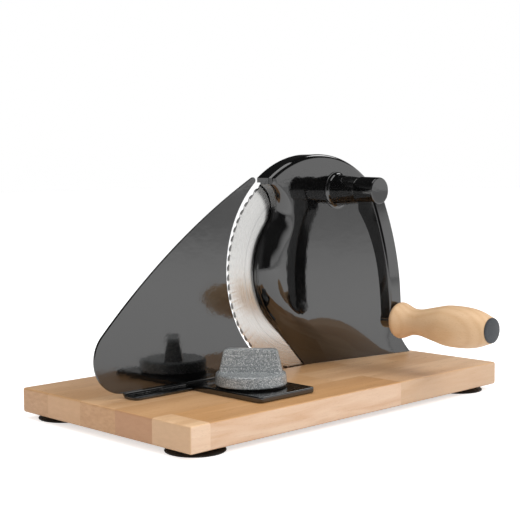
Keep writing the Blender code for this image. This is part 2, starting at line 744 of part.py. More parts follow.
def housing_solid(name, mat, frame, wall, back, hidden):
    """Lofts the contour from its back plane over the rounding to the face, and closes both ends."""
    rings = [[] for _ in range(2 + ROUNDING_STEPS + len(FACE_RINGS))]
    for outer, inner, start, straight in housing_contour(wall, hidden):
        across = Vector(inner) - Vector(outer)
        face = face_height(*inner, wall)
        begin = min(start, face - 0.0002)
        if wall and across.length > 0.001:
            slant = math.hypot(across.length, face + wall - begin) / (face + wall - begin)
            shift = min(wall * mixed(1, slant, straight), 0.9 * across.length)
            outer = tuple(Vector(outer) + across.normalized() * shift)
            across = Vector(inner) - Vector(outer)
        rings[0].append((*outer, back))
        rings[1].append((*outer, begin))
        for k in range(1, ROUNDING_STEPS + 1):
            turn = math.pi / 2 * k / ROUNDING_STEPS
            over = mixed(1 - math.cos(turn), k / ROUNDING_STEPS, straight)
            up = mixed(math.sin(turn), k / ROUNDING_STEPS, straight)
            x = outer[0] + across.x * over
            y = outer[1] + across.y * over
            rings[1 + k].append((x, y, mixed(begin, face, up)))
        for k, share in enumerate(FACE_RINGS):
            x = mixed(inner[0], FACE_MIDDLE_X, share)
            y = mixed(inner[1], FACE_MIDDLE_Z, share)
            rings[2 + ROUNDING_STEPS + k].append((x, y, face_height(x, y, wall)))
    bm = bmesh.new()
    loops = [[bm.verts.new(point) for point in row] for row in rings]
    count = len(loops[0])
    for first, second in zip(loops, loops[1:]):
        for k in range(count):
            after = (k + 1) % count
            bm.faces.new((first[k], second[k], second[after], first[after]))
    bm.faces.new(loops[0])
    bm.faces.new(reversed(loops[-1]))
    bmesh.ops.triangulate(bm, faces=bm.faces)
    bmesh.ops.recalc_face_normals(bm, faces=bm.faces)
    return place(mesh_object(name, bm), mat, parent=frame)


def housing_screw_places():
    places = []
    for share, near, radius in HOUSING_SCREWS:
        x = BLADE_X + mixed(WINDOW_FOOT_SHIFT, corner_x(), share)
        places.append((x, BLADE_Y - near, radius))
    return places


def housing(frame, enamel):
    """The cast shell, modelled about the blade's axis with its height towards the operator."""
    shell = housing_solid("housing", enamel, frame, 0, -RIM_COVER, 0.003)
    hollow = housing_solid("hollow", None, frame, WALL, -RIM_COVER - 0.002, 0.006)
    for k, (x, y, radius) in enumerate(housing_screw_places()):
        boolean(hollow, rod(f"screw_boss_{k}", radius, -0.02, HOUSING_BOSS_H, None, (x, y, TOP)))
    boolean(shell, hollow)
    crank = polar(CENTRES, CRANK_BEARING)
    face = FACE_TO_BLADE
    profile = [(0, NECK_END), (NECK_END_R, NECK_END), (NECK_ROOT_R, face + NECK_FILLET)]
    for k in range(1, 5):
        turn = math.pi / 2 * k / 4
        radius = mixed(NECK_ROOT_R, NECK_COLLAR_R, 1 - math.cos(turn))
        profile.append((radius, face + NECK_FILLET * (1 - math.sin(turn)) + 0.0006))
    profile += [(NECK_COLLAR_R, face - 0.001), (0, face - 0.001)]
    boolean(shell, turned("neck", profile, None, (*crank, 0), parent=frame), "UNION")
    boss_low = GEAR_TO_BLADE + GEAR_T + GAP
    boss = rod("axle_boss", AXLE_BOSS_R, boss_low, face - 0.001, None, (0, 0, 0), parent=frame)
    boolean(shell, boss, "UNION")
    bore = SHAFT_R + BUSHING_T + 2 * GAP
    low = INNER_WALL - 0.002
    boolean(shell, rod("neck_bore", bore, low, NECK_END + 0.001, None, (*crank, 0), parent=frame))
    deep = face - AXLE_INSET + GAP
    boolean(shell, rod("axle_bore", AXLE_R + GAP, boss_low - 0.001, deep, None, (0, 0, 0), parent=frame))
    wide = BLADE_R + BLADE_ROOM
    low = -RIM_COVER - 0.004
    boolean(shell, rod("blade_room", wide, low, BLADE_GAP, None, (0, 0, 0), parent=frame, sides=96))
    boolean(shell, box("board_room", (2, 2, 0.1), None, (0, 0, TOP + GAP - 0.05)))
    for k, (x, y, _) in enumerate(housing_screw_places()):
        reach = HOUSING_SCREW_BITE + GAP
        boolean(shell, rod(f"boss_hole_{k}", HOUSING_SCREW_R + GAP, -0.001, reach, None, (x, y, TOP)))


def housing_screws(steel):
    seat = BOARD_LIFT + HOUSING_SCREW_HEAD_H + GAP
    for k, (x, y, _) in enumerate(housing_screw_places()):
        screw = [
            (0, TOP + HOUSING_SCREW_BITE),
            (HOUSING_SCREW_R, TOP + HOUSING_SCREW_BITE),
            (HOUSING_SCREW_R, seat),
            (HOUSING_SCREW_HEAD_R, seat),
            (HOUSING_SCREW_HEAD_R * 0.8, seat - HOUSING_SCREW_HEAD_H),
            (0, seat - HOUSING_SCREW_HEAD_H),
        ]
        turned(f"housing_screw_{k + 1}", screw, steel, (x, y, 0), steps=16)


def bush(name, inner, outer, low, high, mat, location, parent=None, steps=20):
    profile = [(outer, high), (outer, low), (inner, low), (inner, high)]
    return turned(name, profile, mat, location, parent=parent, steps=steps)


def shaft_set(axis, steel, bright):
    """Shaft, pinion, key and ring in the crank's frame, with their height over the blade's near face."""
    clip_high = GEAR_TO_BLADE - GAP
    clip_low = clip_high - CLIP_T
    groove = SHAFT_R - CLIP_SINK
    profile = [
        (0, BOSS_BACK + SHAFT_SINK),
        (SHAFT_R, BOSS_BACK + SHAFT_SINK),
        (SHAFT_R, clip_high + CLIP_PLAY),
        (groove, clip_high + CLIP_PLAY),
        (groove, clip_low - CLIP_PLAY),
        (SHAFT_R, clip_low - CLIP_PLAY),
        (SHAFT_R, GAP),
        (0, GAP),
    ]
    shaft = turned("crank_shaft", profile, steel, (0, 0, 0), parent=axis, steps=20)
    wide = SHAFT_R + CLIP_RIM
    bush("retaining_ring", groove + GAP, wide, clip_low, clip_high, bright, (0, 0, 0), axis)
    key_low = GEAR_TO_BLADE + GAP
    key_high = INNER_WALL - 2 * GAP
    key_h = 2 * KEY_SINK - GAP
    middle = (key_low + key_high) / 2
    box("pinion_key", (KEY_W, key_h, key_high - key_low), steel, (0, SHAFT_R, middle), parent=axis)
    way = (KEY_W + 2 * GAP, key_h + 2 * GAP, key_high - key_low + 2 * GAP)
    boolean(shaft, box("shaft_keyway", way, None, (0, SHAFT_R, middle), parent=axis))
    turn = CRANK_BEARING + math.pi + math.pi / PINION_TEETH - CRANK_TILT
    pinion = sheet(
        "drive_pinion",
        [involute_gear(PINION_TEETH, turn), ring(SHAFT_R + GAP, 24)],
        GEAR_T,
        steel,
        (0, 0, GEAR_TO_BLADE + GEAR_T / 2),
        parent=axis,
    )
    hub_low = GEAR_TO_BLADE + GEAR_T - 0.001
    hub_high = INNER_WALL - GAP
    hub = bush("pinion_hub", SHAFT_R + GAP, PINION_HUB_R, hub_low, hub_high, None, (0, 0, 0), axis)
    boolean(pinion, hub, "UNION")
    through = (way[0], way[1], 0.03)
    boolean(pinion, box("pinion_keyway", through, None, (0, SHAFT_R, middle), parent=axis))


def bearing(frame, brass, bright):
    crank = (*polar(CENTRES, CRANK_BEARING), 0)
    inner = SHAFT_R + GAP
    bush("crank_bushing", inner, inner + BUSHING_T, INNER_WALL, NECK_END - GAP, brass, crank, frame)
    low = NECK_END + GAP
    bush("thrust_washer", inner, NECK_END_R - GAP, low, low + THRUST_WASHER_T, bright, crank, frame)


def arm_near_side(down):
    """Height of the arm's near side at a distance down the arm: it swings out, then runs straight."""
    share = down / (ARM_CURVE * CRANK_R)
    return ARM_NEAR - (ARM_SET + ARM_TUCK) * max(1 - share, 0) ** 2


def arm_back(down):
    swing = ARM_BACK_SWING * (1 - down / CRANK_R) ** ARM_BACK_POWER
    return max(ARM_NEAR - ARM_END_W - swing, BOSS_BACK + ARM_FROM_BACK)


def crank_arm(axis, enamel):
    boss_near = BOSS_BACK + CRANK_BOSS_L
    profile = [
        (0, boss_near),
        (CRANK_BOSS_END_R - CRANK_BOSS_CHAMFER, boss_near),
        (CRANK_BOSS_END_R - 0.3 * CRANK_BOSS_CHAMFER, boss_near - 0.3 * CRANK_BOSS_CHAMFER),
        (CRANK_BOSS_END_R, boss_near - CRANK_BOSS_CHAMFER),
        (CRANK_BOSS_R, BOSS_BACK + CRANK_BOSS_CHAMFER / 2),
        (CRANK_BOSS_R - CRANK_BOSS_CHAMFER / 2, BOSS_BACK),
        (0, BOSS_BACK),
    ]
    arm = turned("crank_arm", profile, enamel, (0, 0, 0), parent=axis)
    steps = 11
    downs = [mixed(0.4 * CRANK_BOSS_R, CRANK_R, k / steps) for k in range(steps + 1)]
    front = [(arm_near_side(down), -down) for down in downs]
    back = [(arm_back(down), -down) for down in downs]
    web = sheet("arm_web", [front + back[::-1]], ARM_W, None, (0, 0, 0), (0, -math.pi / 2, 0), axis)
    bevel(web, ARM_ROUND, 2)
    boolean(arm, web, "UNION")
    eye_at = (0, -CRANK_R, 0)
    eye = rod("arm_eye", ARM_W / 2, EYE_BACK, ARM_NEAR - EYE_INSET / 2, None, eye_at, parent=axis)
    boolean(arm, eye, "UNION")
    deep = BOSS_BACK + SHAFT_SINK + GAP
    boolean(arm, rod("boss_bore", SHAFT_R + GAP, BOSS_BACK - 0.001, deep, None, (0, 0, 0), parent=axis))
    grub_at = (0, 0, BOSS_BACK + GRUB_FROM_BACK)
    wide = CRANK_BOSS_R + 0.002
    boolean(arm, rod("grub_hole", GRUB_R + GAP, SHAFT_R, wide, None, grub_at, TOWARDS_END, axis))
    boolean(arm, rod("head_seat", SPINDLE_HEAD_R + GAP, BOSS_BACK, EYE_BACK, None, eye_at, parent=axis))
    boolean(arm, rod("spindle_hole", SPINDLE_R + GAP, BOSS_BACK, ARM_NEAR + 0.002, None, eye_at, parent=axis))


def crank_set(axis, enamel, steel, bright):
    """Crank arm with its grub screw and the spindle that carries the grip."""
    crank_arm(axis, enamel)
    grub_at = (0, 0, BOSS_BACK + GRUB_FROM_BACK)
    low = SHAFT_R + GAP
    high = CRANK_BOSS_R - GRUB_SINK
    rod("crank_grub_screw", GRUB_R, low, high, steel, grub_at, TOWARDS_END, axis, 12)
    foot_at = (0, -CRANK_R, 0)
    seat = EYE_BACK - GAP
    nut_low = GRIP_START + GRIP_L - NUT_ROOM + GAP
    spindle = [
        (0, nut_low + NUT_H + GAP),
        (SPINDLE_R, nut_low + NUT_H + GAP),
        (SPINDLE_R, seat),
        (SPINDLE_HEAD_R, seat),
        (SPINDLE_HEAD_R * 0.75, seat - SPINDLE_HEAD_H),
        (0, seat - SPINDLE_HEAD_H),
    ]
    turned("grip_spindle", spindle, bright, foot_at, parent=axis, steps=20)
    inner = SPINDLE_R + GAP
    washer_low = ARM_NEAR + GAP
    bush("grip_washer", inner, GRIP_WASHER_R, washer_low, washer_low + GRIP_WASHER_T, bright, foot_at, axis)
    bush("spindle_nut", inner, NUT_R, nut_low, nut_low + NUT_H, steel, foot_at, axis)


def grip_set(axis, beech, slate):
    """The turned grip and its end cap, with their height from the arm's end of the grip."""
    outer = [(radius, station) for station, radius in reversed(GRIP_STATIONS)]
    floor = GRIP_L - NUT_ROOM
    bore = SPINDLE_R + GAP
    inner = [(bore, 0), (bore, floor), (GRIP_POCKET_R, floor), (GRIP_POCKET_R, GRIP_L)]
    turned("grip", outer + inner, beech, (0, 0, 0), parent=axis, steps=22)
    seat = GRIP_L + GAP
    cap = [
        (0, seat + CAP_SIDE + CAP_DOME),
        (CAP_R * 0.6, seat + CAP_SIDE + CAP_DOME * 0.62),
        (CAP_R - 0.0005, seat + CAP_SIDE),
        (CAP_R, seat + CAP_SIDE * 0.6),
        (CAP_R, seat),
        (GRIP_POCKET_R - GAP, seat),
        (GRIP_POCKET_R - GAP, seat - CAP_PLUG_L),
        (0, seat - CAP_PLUG_L),
    ]
    turned("grip_cap", cap, slate, (0, 0, 0), parent=axis, steps=22)


def circles_meet(first, first_r, second, second_r):
    """The meeting point of two circles on the right of the way from the first to the second."""
    apart = math.dist(first, second)
    along = (first_r**2 - second_r**2 + apart**2) / (2 * apart)
    off = math.sqrt(first_r**2 - along**2)
    ux = (second[0] - first[0]) / apart
    uy = (second[1] - first[1]) / apart
    return (first[0] + ux * along + uy * off, first[1] + uy * along - ux * off)


def bearing_to(start, end):
    return math.atan2(end[1] - start[1], end[0] - start[0])


def stop_outline():
    """Outline about the blade's axis: foot, hollow edge round the blade, tip, long back and corner."""
    hollow = (0, PLATE_ARC_RISE)
    radius = BLADE_R + PLATE_ARC_GAP
    foot = -BLADE_RISE + GAP + PLATE_T / 2
    low = math.pi - math.asin((foot - PLATE_ARC_RISE) / radius)
    tip = polar(radius + PLATE_TIP_R, PLATE_TIP_BEARING, hollow)
    corner = (-PLATE_END_SHIFT + PLATE_CORNER_R, -BLADE_RISE + PLATE_CORNER_RISE)
    back = circles_meet(corner, PLATE_BACK_R - PLATE_CORNER_R, tip, PLATE_BACK_R - PLATE_TIP_R)
    at_tip = bearing_to(back, tip)
    at_corner = bearing_to(back, corner)
    points = [(-FLANGE_LEFT_SHIFT, foot)]
    points += arc(hollow, radius, low, PLATE_TIP_BEARING, 28)
    points += arc(tip, PLATE_TIP_R, PLATE_TIP_BEARING - math.pi, at_tip, 7)[1:]
    points += arc(back, PLATE_BACK_R, at_tip, at_corner, 14)[1:]
    points += arc(corner, PLATE_CORNER_R, at_corner, 1.5 * math.pi, 16)[1:]
    return points


def rounded_plan(x_low, x_high, y_low, y_high, radius):
    """A rectangle with its two near corners, at y_low, rounded."""
    points = [(x_high, y_high), (x_low, y_high)]
    points += arc((x_low + radius, y_low + radius), radius, math.pi, 1.5 * math.pi, 6)
    points += arc((x_high - radius, y_low + radius), radius, 1.5 * math.pi, 2 * math.pi, 6)
    return points


def stop_plate(slide, enamel):
    """Bent sheet: an upright stop with a foot towards the operator's crank side."""
    plate = sheet("stop_plate", [stop_outline()], PLATE_T, enamel, (0, PLATE_T / 2, 0), NEAR, slide)
    foot_z = -BLADE_RISE + GAP + PLATE_T / 2
    plan = rounded_plan(
        -FLANGE_LEFT_SHIFT, -FLANGE_RIGHT_SHIFT, -FLANGE_REACH, PLATE_T - 0.0002, FLANGE_CORNER_R
    )
    foot = sheet("stop_foot", [plan], PLATE_T, None, (0, 0, foot_z), parent=slide)
    for k, (x, y) in enumerate(rivet_places()):
        at = (x, y, -BLADE_RISE + GAP)
        wide = RIVET_R + GAP
        boolean(foot, rod(f"foot_rivet_hole_{k}", wide, -0.001, 0.005, None, at, parent=slide, sides=12))
        wide = RIVET_HEAD_R + GAP
        deep = RIVET_HEAD_H + GAP
        boolean(foot, rod(f"foot_rivet_sink_{k}", wide, -0.001, deep, None, at, parent=slide, sides=12))
    boolean(plate, foot, "UNION")
    sunk = -0.0005
    section = [(sunk, sunk), (BEND_R, sunk)] + arc((BEND_R, BEND_R), BEND_R, 1.5 * math.pi, math.pi, 5)
    section.append((sunk, BEND_R))
    length = FLANGE_LEFT_SHIFT - FLANGE_RIGHT_SHIFT - 0.001
    middle = (-(FLANGE_LEFT_SHIFT + FLANGE_RIGHT_SHIFT) / 2, 0, foot_z + PLATE_T / 2)
    bend = sheet("stop_bend", [section], length, None, middle, (math.pi / 2, 0, -math.pi / 2), slide)
    boolean(plate, bend, "UNION")


def rivet_places():
    """Rivets through the stop's foot into the slide base, in the slide's frame."""
    middle = SLIDE_X - BLADE_X
    return [(middle + side * RIVET_SPACING / 2, -FLANGE_REACH / 2) for side in (-1, 1)]


def slide_base(slide, enamel, steel):
    """The slotted strip that the knob clamps, lapped over the stop's foot and riveted to it."""
    x = SLIDE_X - BLADE_X
    near = SLIDE_Y - PLATE_Y
    low = -BLADE_RISE + GAP
    plan = rounded_plan(x - SLIDE_W / 2, x + SLIDE_W / 2, near, -BEND_R - GAP, SLIDE_CORNER_R)
    base = sheet("slide_base", [plan], SLIDE_T, enamel, (0, 0, low + SLIDE_T / 2), parent=slide)
    bevel(base, SLIDE_ROUND, 2)
    lap = low + PLATE_T + GAP
    room = (SLIDE_W + 0.01, 2 * (FLANGE_REACH + GAP), 2 * (PLATE_T + GAP))
    boolean(base, box("lap_room", room, None, (x, 0, lap - room[2] / 2), parent=slide))
    high = low + SLIDE_T + 0.001
    ramp = [(low + SLIDE_T, -FLANGE_REACH - SLIDE_RAMP), (low + SLIDE_LAP_T, -FLANGE_REACH)]
    ramp += [(low + SLIDE_LAP_T, 0.001), (high, 0.001), (high, -FLANGE_REACH - SLIDE_RAMP)]
    at = (x, 0, 0)
    boolean(base, sheet("slide_ramp", [ramp], SLIDE_W + 0.01, None, at, (0, -math.pi / 2, 0), slide))
    wide = BOLT_R + GAP
    knob = KNOB_Y - PLATE_Y
    slot_low = knob - PIN_FROM_BOLT - SLIDE_CLOSE
    slot_high = knob + SLIDE_OPEN
    slot = arc((x, slot_low), wide, math.pi, 2 * math.pi, 9) + arc((x, slot_high), wide, 0, math.pi, 9)
    boolean(base, sheet("slide_slot", [slot], 0.02, None, (0, 0, low), parent=slide))
    for k, (rivet_x, rivet_y) in enumerate(rivet_places()):
        top = low + SLIDE_LAP_T - RIVET_BELOW_TOP
        at = (rivet_x, rivet_y, 0)
        wide = RIVET_R + GAP
        boolean(base, rod(f"base_rivet_hole_{k}", wide, low, top, None, at, parent=slide, sides=12))
        head = low + GAP / 2
        rivet = [
            (0, top - GAP),
            (RIVET_R, top - GAP),
            (RIVET_R, head + RIVET_HEAD_H),
            (RIVET_HEAD_R, head + RIVET_HEAD_H),
            (RIVET_HEAD_R, head),
            (0, head),
        ]
        turned(f"slide_rivet_{k + 1}", rivet, steel, at, parent=slide, steps=12)


def clamp_knob(axis, hammertone, brass):
    """A disc with a tapered grip across it, and a brass insert for the bolt."""
    top_r = KNOB_R - KNOB_DRAFT
    disc = [
        (0, KNOB_DISC_H),
        (top_r - KNOB_DISC_ROUND, KNOB_DISC_H),
        (top_r - 0.3 * KNOB_DISC_ROUND, KNOB_DISC_H - 0.3 * KNOB_DISC_ROUND),
        (top_r, KNOB_DISC_H - KNOB_DISC_ROUND),
        (KNOB_R, KNOB_EDGE),
        (KNOB_R - KNOB_EDGE, 0),
        (0, 0),
    ]
    knob = turned("clamp_knob", disc, hammertone, (0, 0, 0), parent=axis, steps=40)
    bm = bmesh.new()
    bmesh.ops.create_cube(bm, size=1)
    for vert in bm.verts:
        upper = vert.co.z > 0
        vert.co.x *= 2.2 * KNOB_R
        vert.co.y *= KNOB_GRIP_TOP_T if upper else KNOB_GRIP_BASE_T
        vert.co.z = KNOB_H if upper else KNOB_GRIP_SINK
    grip = place(mesh_object("knob_grip", bm), None, parent=axis)
    ends = [(0, KNOB_H + 0.001), (KNOB_GRIP_TOP_R, KNOB_H + 0.001), (KNOB_GRIP_BASE_R, 0), (0, 0)]
    boolean(grip, turned("knob_grip_ends", ends, None, (0, 0, 0), parent=axis, steps=40), "INTERSECT")
    bevel(grip, KNOB_GRIP_ROUND, 3)
    boolean(knob, grip, "UNION")
    recess = CLAMP_WASHER_T - KNOB_LIFT + GAP
    boolean(knob, rod("washer_recess", CLAMP_WASHER_R + GAP, -0.001, recess, None, (0, 0, 0), parent=axis))
    deep = recess + INSERT_H + GAP
    boolean(knob, rod("insert_hole", INSERT_R + GAP, -0.001, deep, None, (0, 0, 0), parent=axis))
    bush("knob_insert", BOLT_R + GAP, INSERT_R, recess, recess + INSERT_H, brass, (0, 0, 0), axis)


def clamp_bolt(steel, bright):
    at = (SLIDE_X, KNOB_Y, 0)
    seat = BOARD_LIFT + BOLT_HEAD_H + GAP
    washer = KNOB_Z - KNOB_LIFT
    top = washer + CLAMP_WASHER_T + INSERT_H
    bolt = [
        (0, top),
        (BOLT_R - BOLT_CHAMFER, top),
        (BOLT_R, top - BOLT_CHAMFER),
        (BOLT_R, seat),
        (BOLT_HEAD_R, seat),
        (BOLT_HEAD_R - BOLT_CHAMFER, seat - BOLT_HEAD_H),
        (0, seat - BOLT_HEAD_H),
    ]
    turned("clamp_bolt", bolt, steel, at, steps=20)
    bush("clamp_washer", BOLT_R + GAP, CLAMP_WASHER_R, washer, washer + CLAMP_WASHER_T, bright, at)
    pin_at = (SLIDE_X, KNOB_Y - PIN_FROM_BOLT, 0)
    rod("guide_pin", BOLT_R, TOP - PIN_DEPTH, SLIDE_TOP - PIN_BELOW_SLIDE, steel, pin_at)


def build():
    clear_scene()
    beech = material("beech", (0.56, 0.33, 0.17), 0.5, 0)
    grip_beech = material("turned_beech", (0.58, 0.35, 0.17), 0.45, 0)
    enamel = material("black_enamel", (0.008, 0.008, 0.009), 0.08, 0)
    rubber = material("black_rubber", (0.012, 0.012, 0.012), 0.6, 0)
    ground = material("ground_steel", (0.72, 0.71, 0.69), 0.28, 1)
    steel = material("zinc_steel", (0.45, 0.45, 0.44), 0.4, 1)
    bright = material("bright_steel", (0.62, 0.62, 0.62), 0.25, 1)
    cast = material("grey_cast", (0.2, 0.2, 0.2), 0.55, 0.6)
    brass = material("brass", (0.7, 0.5, 0.2), 0.35, 1)
    hammertone = material("hammertone_grey", (0.1, 0.11, 0.12), 0.35, 0.6)
    slate = material("slate_plastic", (0.05, 0.055, 0.06), 0.5, 0)
    board(beech)
    for name, (x, y) in foot_places().items():
        foot(name, x, y, rubber, steel)
    frame = joint_empty("housing_frame", (BLADE_X, BLADE_Y, BLADE_Z), NEAR)
    housing(frame, enamel)
    housing_screws(steel)
    bearing(frame, brass, bright)
    axle_set(frame, steel, bright)
    blade_axis = joint_empty("blade_axis", (BLADE_X, BLADE_Y, BLADE_Z), NEAR)
    blade_set(blade_axis, ground, cast, bright)
    crank_axis = joint_empty("crank_axis", (CRANK_X, BLADE_Y, CRANK_Z), (math.pi / 2, -CRANK_TILT, 0))
    shaft_set(crank_axis, steel, bright)
    crank_set(crank_axis, enamel, steel, bright)
    grip_axis = joint_empty("grip_axis", (0, -CRANK_R, GRIP_START), (0, 0, 0), crank_axis)
    grip_set(grip_axis, grip_beech, slate)
    slide = joint_empty("plate_slide", (BLADE_X, PLATE_Y, BLADE_Z), (0, 0, 0))
    stop_plate(slide, enamel)
    slide_base(slide, enamel, steel)
    knob_axis = joint_empty("knob_axis", (SLIDE_X, KNOB_Y, KNOB_Z), (0, 0, KNOB_TURN))
    clamp_knob(knob_axis, hammertone, brass)
    clamp_bolt(steel, bright)


build()
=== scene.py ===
"""Looks of the manual bread slicer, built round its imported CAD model, with floor, light and camera."""

import json
import math

import bmesh
import bpy
from mathutils import Matrix, Vector


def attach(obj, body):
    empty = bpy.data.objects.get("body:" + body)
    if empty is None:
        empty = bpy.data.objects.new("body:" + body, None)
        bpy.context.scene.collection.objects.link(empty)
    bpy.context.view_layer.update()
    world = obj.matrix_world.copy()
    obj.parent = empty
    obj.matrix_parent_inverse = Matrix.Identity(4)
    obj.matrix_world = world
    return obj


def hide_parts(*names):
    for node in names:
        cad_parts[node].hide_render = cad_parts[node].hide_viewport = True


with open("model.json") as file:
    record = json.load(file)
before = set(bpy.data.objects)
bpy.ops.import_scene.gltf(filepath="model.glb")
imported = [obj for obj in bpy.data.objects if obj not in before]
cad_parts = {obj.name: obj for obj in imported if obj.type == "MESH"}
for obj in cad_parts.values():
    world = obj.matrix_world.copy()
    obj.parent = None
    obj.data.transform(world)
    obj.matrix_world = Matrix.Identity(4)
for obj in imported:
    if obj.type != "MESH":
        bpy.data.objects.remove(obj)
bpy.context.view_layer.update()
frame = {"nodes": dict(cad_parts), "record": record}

# Sizes and places of the CAD model, in metres
GAP = 0.0003
TOP = 0.0235
BOARD_L = 0.345
BOARD_W = 0.196
BOARD_LIFT = 0.0045
BLADE_X = 0.048
BLADE_Y = 0.0105
BLADE_RISE = 0.0826
BLADE_Z = TOP + BLADE_RISE
BLADE_R = 0.0854
BLADE_T = 0.0015
BLADE_TEETH = 68
BLADE_SCREW_RING = 0.017
CENTRES = BLADE_R * 0.8237
CRANK_BEARING = math.radians(66.28)
CRANK_TILT = math.radians(3.93)
CRANK_R = 0.1057
CRANK_X = BLADE_X + CENTRES * math.cos(CRANK_BEARING)
CRANK_Z = BLADE_Z + CENTRES * math.sin(CRANK_BEARING)
FACE = 0.0135
NECK_END = 0.0397
BOSS_BACK = 0.0409
BOSS_L = 0.0194
ARM_NEAR = 0.0725
ARM_W = 0.0146
ARM_END_W = 0.0116
EYE_BACK = ARM_NEAR - ARM_END_W - 0.0004
GRIP_START = 0.0739
GRIP_L = 0.0905
GRUB_HEIGHT = 0.0068
PLATE_Y = 0.005
SLIDE_X = -0.06185
SLIDE_W = 0.0573
KNOB_Y = -0.0399
KNOB_Z = 0.0294
KNOB_TURN = math.radians(-50)
FOOT_X = 0.1485
FOOT_Y = 0.075
# Each screw up into the housing: its place from the blade's axis and the radius of its boss
HOUSING_SCREWS = ((0.04654, 0.0042, 0.0036), (0.07271, 0.007, 0.005), (0.1053, 0.0125, 0.005))
NEAR = (math.pi / 2, 0, 0)
CUTTERS = []


def mixed(a, b, share):
    return a + (b - a) * share


def smooth(share):
    share = min(max(share, 0), 1)
    return share * share * (3 - 2 * share)


def polar(radius, angle, centre=(0, 0)):
    return (centre[0] + radius * math.cos(angle), centre[1] + radius * math.sin(angle))


def arc(centre, radius, start, end, count):
    return [polar(radius, mixed(start, end, k / (count - 1)), centre) for k in range(count)]


def ring(radius, count):
    return arc((0, 0), radius, 0, 2 * math.pi * (1 - 1 / count), count)


def axis_matrix(location, rotation=(0, 0, 0)):
    turn = Matrix.Identity(4)
    for angle, axis in zip(rotation, "XYZ"):
        turn = Matrix.Rotation(angle, 4, axis) @ turn
    return Matrix.Translation(location) @ turn


HOUSING_AT = axis_matrix((BLADE_X, BLADE_Y, BLADE_Z), NEAR)
CRANK_AT = axis_matrix((CRANK_X, BLADE_Y, CRANK_Z), (math.pi / 2, -CRANK_TILT, 0))
GRIP_AT = CRANK_AT @ Matrix.Translation((0, -CRANK_R, GRIP_START))
SLIDE_AT = axis_matrix((BLADE_X, PLATE_Y, BLADE_Z))
KNOB_AT = axis_matrix((SLIDE_X, KNOB_Y, KNOB_Z), (0, 0, KNOB_TURN))
EYE_AT = CRANK_AT @ Matrix.Translation((0, -CRANK_R, 0))
GRUB_AT = CRANK_AT @ Matrix.Translation((0, 0, BOSS_BACK + GRUB_HEIGHT))
GRUB_AT = GRUB_AT @ Matrix.Rotation(math.pi / 2, 4, "Y")
NECK_AT = HOUSING_AT @ Matrix.Translation((*polar(CENTRES, CRANK_BEARING), 0))
BLADE_SCREWS_AT = [
    HOUSING_AT @ Matrix.Translation((*polar(BLADE_SCREW_RING, math.pi / 2 + 2 * math.pi * k / 3), 0))
    for k in range(3)
]


def made(name, bm, matrix, angle=35):
    mesh = bpy.data.meshes.new(name)
    bm.to_mesh(mesh)
    bm.free()
    mesh.shade_smooth()
    mesh.set_sharp_from_angle(angle=math.radians(angle))
    obj = bpy.data.objects.new(name, mesh)
    bpy.context.scene.collection.objects.link(obj)
    obj.matrix_world = matrix
    return obj


def box(name, size, matrix):
    bm = bmesh.new()
    bmesh.ops.create_cube(bm, size=1, matrix=Matrix.Diagonal((*size, 1)))
    return made(name, bm, matrix)


def rod(name, radius, low, high, matrix, sides=48):
    bm = bmesh.new()
    shift = Matrix.Translation((0, 0, (low + high) / 2))
    bmesh.ops.create_cone(
        bm, cap_ends=True, segments=sides, radius1=radius, radius2=radius, depth=high - low, matrix=shift
    )
    return made(name, bm, matrix)


def turned(name, profile, matrix, steps=64, angle=35):
    """A profile of (radius, height) points turned about its own Z axis, closed on itself or on the axis."""
    closed = profile[0][0] > 0
    bm = bmesh.new()
    rows = []
    for radius, height in profile:
        if radius == 0:
            rows.append([bm.verts.new((0, 0, height))])
        else:
            rows.append([bm.verts.new((x, y, height)) for x, y in ring(radius, steps)])
    pairs = list(zip(rows, rows[1:]))
    if closed:
        pairs.append((rows[-1], rows[0]))
    for first, second in pairs:
        for k in range(steps):
            after = (k + 1) % steps
            corners = [first[k % len(first)], first[after % len(first)]]
            corners += [second[after % len(second)], second[k % len(second)]]
            bm.faces.new(dict.fromkeys(corners))
    bmesh.ops.recalc_face_normals(bm, faces=bm.faces)
    return made(name, bm, matrix, angle)


def extruded(name, outline, low, high, matrix, angle=35):
    """A flat outline in its own XY plane, extruded from one height to another."""
    bm = bmesh.new()
    lower = [bm.verts.new((x, y, low)) for x, y in outline]
    upper = [bm.verts.new((x, y, high)) for x, y in outline]
    count = len(outline)
    for k in range(count):
        after = (k + 1) % count
        bm.faces.new((lower[k], lower[after], upper[after], upper[k]))
    bm.faces.new(reversed(lower))
    bm.faces.new(upper)
    bmesh.ops.recalc_face_normals(bm, faces=bm.faces)
    return made(name, bm, matrix, angle)


def bevel(obj, width, segments, angle=35):
    modifier = obj.modifiers.new("round", "BEVEL")
    modifier.width = width
    modifier.segments = segments
    modifier.limit_method = "ANGLE"
    modifier.angle_limit = math.radians(angle)
    return obj


def boolean(obj, other, operation="DIFFERENCE"):
    modifier = obj.modifiers.new(operation.lower(), "BOOLEAN")
    modifier.operation = operation
    modifier.solver = "EXACT"
    modifier.object = other
    CUTTERS.append(other)
    return obj


def baked(obj, angle=35, weighted=False):
    """Turns the modifiers into the piece's own mesh, shaded smooth up to an angle."""
    bpy.context.view_layer.update()
    graph = bpy.context.evaluated_depsgraph_get()
    mesh = bpy.data.meshes.new_from_object(obj.evaluated_get(graph))
    obj.modifiers.clear()
    obj.data = mesh
    mesh.shade_smooth()
    mesh.set_sharp_from_angle(angle=math.radians(angle))
    if weighted:
        modifier = obj.modifiers.new("normals", "WEIGHTED_NORMAL")
        modifier.keep_sharp = True
    return obj


def drop_cutters():
    for cutter in set(CUTTERS):
        bpy.data.objects.remove(cutter, do_unlink=True)
    CUTTERS.clear()


